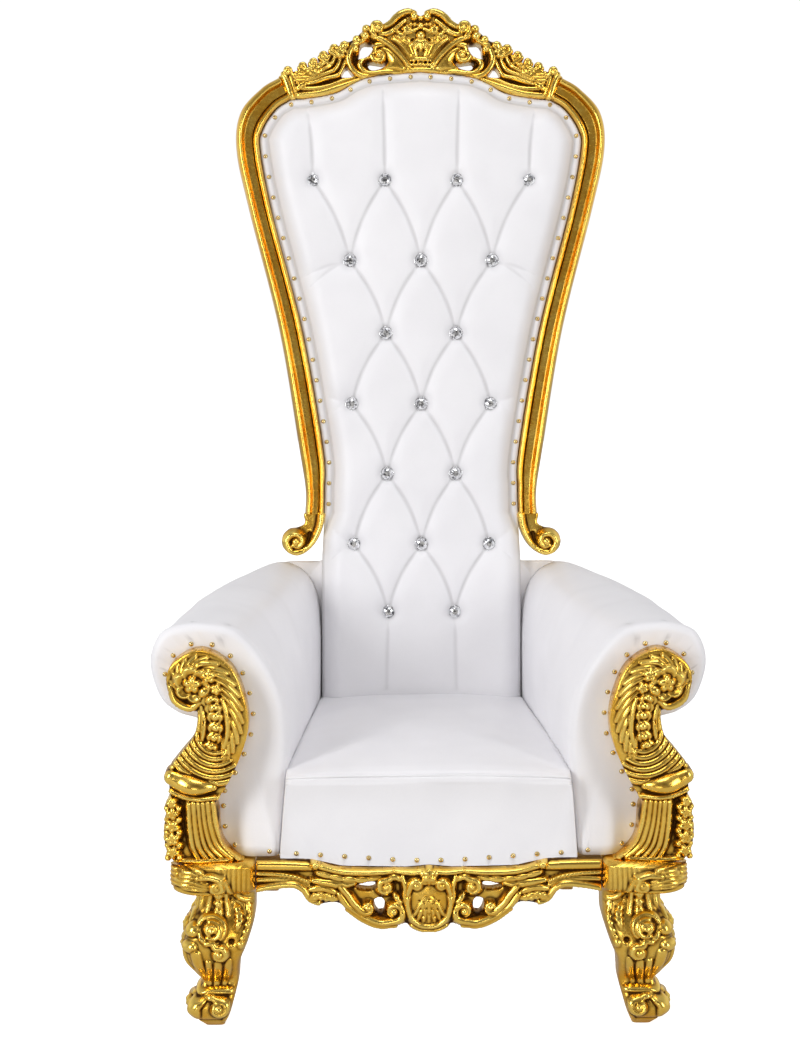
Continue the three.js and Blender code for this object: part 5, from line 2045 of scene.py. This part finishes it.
@dataclass
class Nails:
    """Domed nails along the gilded frame, the arm facings and the front rail."""

    back: Plane
    front: Plane
    radius: float = 4.6

    def _row(self, path: Array, spacing: float, forward: float) -> list[Array]:
        """Places for nails along a path, as near to a spacing as fits."""
        count = int(round(lengths_along(path)[-1] / spacing))
        return [np.array([*place, forward]) for place in stepped(path, count)]

    def _heads(self, places: Sequence[Array]) -> Shape:
        """Domed heads facing forwards."""
        dome = ((1.0, -1.5), (1.0, 0.2), (0.9, 1.5), (0.66, 2.6), (0.36, 3.2), (0.1, 3.4))
        head = lofted(np.array([disc((0, 0), self.radius * reach, forward, 12) for reach, forward in dome]))
        return joined([Shape(head.points + place, head.faces) for place in places])

    def build(self) -> None:
        """Sets every row."""
        rim = np.vstack([smooth(Crest.OGEE), smooth(Stiles.INNER)[1:]])
        inner = beside(rim, -8.6)
        half = self._row(inner, 41, 3.4)
        foot = [np.array([206.0, 776.0, 4.0])]
        whole = [*half, *foot]
        whole += [place * (-1, 1, 1) for place in whole]
        self._heads(whole).piece("nails_back", self.back, Foil())
        rim = np.vstack([smooth(Posts.INNER)[6:], smooth(Posts.HEAD)])
        side = self._row(beside(rim, 6.0), 37, 299.6)
        for place in side:
            place[2] += float(Arms.swell(place[0], place[1]))
        self._heads([*side, *[place * (-1, 1, 1) for place in side]]).piece("nails_arms", self.front, Foil())
        rail = np.array([(-250.0, 307.0), (-190, 303.5), (-40, 293), (40, 293), (190, 303.5), (250, 307.0)])
        ends = [np.array([side * 276.0, 308.0, 318.5]) for side in (-1, 1)]
        self._heads([*self._row(rail, 41, 324.8), *ends]).piece("nails_front", self.front, Foil())


# ---- The plain pieces ----


@dataclass
class PlainWood:
    """The gilded pieces that are finished plainly: the side and rear rails and the rear legs."""

    plane: Plane
    chamfer: float = 2.5

    REAR_LEG = [  # height, nearest and furthest distance behind, and x range
        (299.2, 204.5, 256, 283, 332), (235, 204.5, 258, 283, 332), (140, 246, 295, 287, 329),
        (80, 289, 334, 291, 326), (0, 362, 400, 295, 323),
    ]

    def _leg(self) -> Shape:
        """A sabre leg with rounded edges.

        Returns:
            The right leg.
        """
        heights = np.linspace(self.REAR_LEG[0][0], 0, 61)
        near, far, inner, outer = (profile(self.REAR_LEG, column, heights) for column in range(1, 5))
        turn = 2 * math.pi * np.arange(40) / 40
        cx = np.sign(np.cos(turn)) * np.abs(np.cos(turn)) ** 0.3
        cz = np.sign(np.sin(turn)) * np.abs(np.sin(turn)) ** 0.3
        x = ((inner + outer) / 2)[:, None] + ((outer - inner) / 2)[:, None] * cx
        z = -((near + far) / 2)[:, None] + ((far - near) / 2)[:, None] * cz
        level = np.broadcast_to(heights[:, None], x.shape)
        return lofted(np.stack([x, level, z], 2)[:, ::-1])

    def _bar(self, ends: Sequence[tuple[Pair, Pair, float]]) -> Shape:
        """A bar with softened edges between two upright rectangles.

        Args:
            ends: Each end's range across, range of heights, and place forward.

        Returns:
            The bar.
        """
        rings = []
        for (left, right), (low, high), forward in ends:
            r = self.chamfer
            flat = [(left + r, low), (right - r, low), (right, low + r), (right, high - r), (right - r, high),
                    (left + r, high), (left, high - r), (left, low + r)]
            rings.append([(x, y, forward) for x, y in flat])
        return lofted(np.array(rings, float)[:, ::-1])

    def build(self) -> None:
        """Makes the plain pieces."""
        finish = GoldLeaf(name="gold_leaf_plain", paint_shade_and_highlight=False)
        pair(self._leg(), "rear_leg_wood", self.plane, finish, "rear_leg")
        rail = self._bar([((346, 383), (238, 299.4), 246.1), ((283, 316), (238, 299.4), -204)])
        pair(rail, "side_rail_wood", self.plane, finish, "side_rail")
        rear = self._bar([((-282, 282), (238, 281), -205), ((-282, 282), (238, 281), -235)])
        rear.piece("rear_rail_wood", self.plane, finish, "rear_rail", smooth_faces=False)


# ---- The room ----


@dataclass
class Studio:
    """A white room: a seamless floor, soft lamps and a sky for the gold to mirror."""

    lens: float = 68.13
    eye: Three = (-0.0942, -3.6231, 1.382)
    tilt: float = 81.445
    yaw: float = -0.770

    LAMPS = [  # name, place, aim, size and power
        ("key", (-2.6, -2.6, 1.9), (0, 0, 0.95), (0.8, 1.9), 58),
        ("fill", (2.7, -2.5, 1.5), (0, 0, 0.9), (0.6, 2.0), 32),
        ("top", (0.1, -1.2, 3.7), (0, 0, 0.8), (1.4, 0.9), 20),
        ("low", (-0.6, -3.4, 0.5), (0, 0, 0.3), (1.2, 0.3), 6),
    ]

    def _floor(self) -> None:
        """The floor, a plain white sweep."""
        bpy.ops.mesh.primitive_plane_add(size=14, location=(0, 2.0, 0))
        floor = bpy.context.object
        floor.name = "floor"
        made = bpy.data.materials.new("white_floor")
        made.use_nodes = True
        graph = Graph(made.node_tree)
        tone = graph.ramp(graph.noise(0.6, 1.0), (0.0, (0.93, 0.93, 0.93)), (1.0, (0.97, 0.97, 0.97)))
        seen = graph.node("ShaderNodeLightPath", out="Is Camera Ray")
        shader = graph.node(
            "ShaderNodeBsdfPrincipled", None, Base_Color=graph.mix(seen, (0.55, 0.54, 0.53), tone),
            Roughness=0.9,
            Emission_Color=graph.mix(seen, (0.10, 0.10, 0.10), tone), Emission_Strength=0.85,
        )
        graph.node("ShaderNodeOutputMaterial", None, Surface=shader)
        floor.data.materials.append(made)

    def _world(self) -> None:
        """The surroundings: white at the sides and behind, dim in front, so that the gold has depth."""
        world = bpy.data.worlds.new("studio")
        bpy.context.scene.world = world
        world.use_nodes = True
        graph = Graph(world.node_tree)
        where = graph.node("ShaderNodeTexCoord", out="Generated")
        ahead = graph.node("ShaderNodeSeparateXYZ", None, where, out=1)
        upward = graph.node("ShaderNodeSeparateXYZ", None, where, out=2)
        level = graph.ramp(
            ahead * 0.5 + 0.5,
            (0.0, (0.42, 0.40, 0.38)), (0.06, (0.20, 0.185, 0.17)), (0.14, (0.30, 0.28, 0.26)),
            (0.25, (0.95, 0.95, 0.97)), (0.36, (0.45, 0.45, 0.46)), (0.55, (0.95, 0.95, 0.95)),
        )
        over = graph.ramp(upward, (0.0, (1.0, 1.0, 1.0)), (0.45, (0.95, 0.95, 0.96)),
                          (0.75, (0.5, 0.5, 0.52)),
                          (1.0, (0.9, 0.9, 0.92)))
        sky = graph.mix(1.0, level, over, "MULTIPLY")
        seen = graph.node("ShaderNodeLightPath", out="Is Camera Ray")
        sky = graph.mix(seen, sky, (1.25, 1.25, 1.25))
        back = graph.node("ShaderNodeBackground", None, Color=sky, Strength=0.82)
        graph.node("ShaderNodeOutputWorld", None, Surface=back)

    def _lamp(self, name: str, place: Three, aim: Three, size: Pair, power: float) -> None:
        """A soft rectangular lamp aimed at a point.

        Args:
            name: Its name.
            place, aim: Where it hangs and what it points at.
            size: Its two sides.
            power: Its watts.
        """
        data = bpy.data.lights.new(name, "AREA")
        data.shape = "RECTANGLE"
        data.size, data.size_y = size
        data.energy = power
        lamp = bpy.data.objects.new(name, data)
        lamp.location = place
        lamp.rotation_euler = (Vector(aim) - Vector(place)).to_track_quat("-Z", "Y").to_euler()
        bpy.context.collection.objects.link(lamp)

    def build(self) -> None:
        """Builds the room and hangs its lamps."""
        self._floor()
        self._world()
        bpy.context.scene.view_settings.view_transform = "Standard"
        for lamp in self.LAMPS:
            self._lamp(*lamp)

    def camera(self) -> None:
        """Sets the camera."""
        data = bpy.data.cameras.new("camera")
        data.lens = self.lens
        data.sensor_width = 36.0
        camera = bpy.data.objects.new("camera", data)
        camera.location = self.eye
        camera.rotation_euler = (math.radians(self.tilt), 0.0, math.radians(self.yaw))
        bpy.context.collection.objects.link(camera)
        bpy.context.scene.camera = camera


def main() -> None:
    """Dresses the whole throne and sets it in its room."""
    logging.basicConfig(level=logging.INFO, format="%(message)s")
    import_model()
    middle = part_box("arm_right")[0][1] + ARM_FACE * MM
    upright, leaning = Plane(middle), Plane(middle + BACK_FOOT * MM, LEAN)
    studio = Studio()
    studio.camera()
    pad = BackPad(leaning)
    arms = Arms(upright)
    for part in (
        Crest(leaning), Stiles(leaning), Posts(Plane(middle - POST_FRONT * MM)),
        Apron(Plane(middle - RAIL_FRONT * MM)), FrontLegs(upright), pad, Buttons(leaning, pad), arms,
        Seat(upright, arms), OutsideBack(leaning), Nails(leaning, upright), PlainWood(upright), studio,
    ):
        part.build()
        LOG.info("built %s", type(part).__name__)


if __name__ == "__main__":
    main()
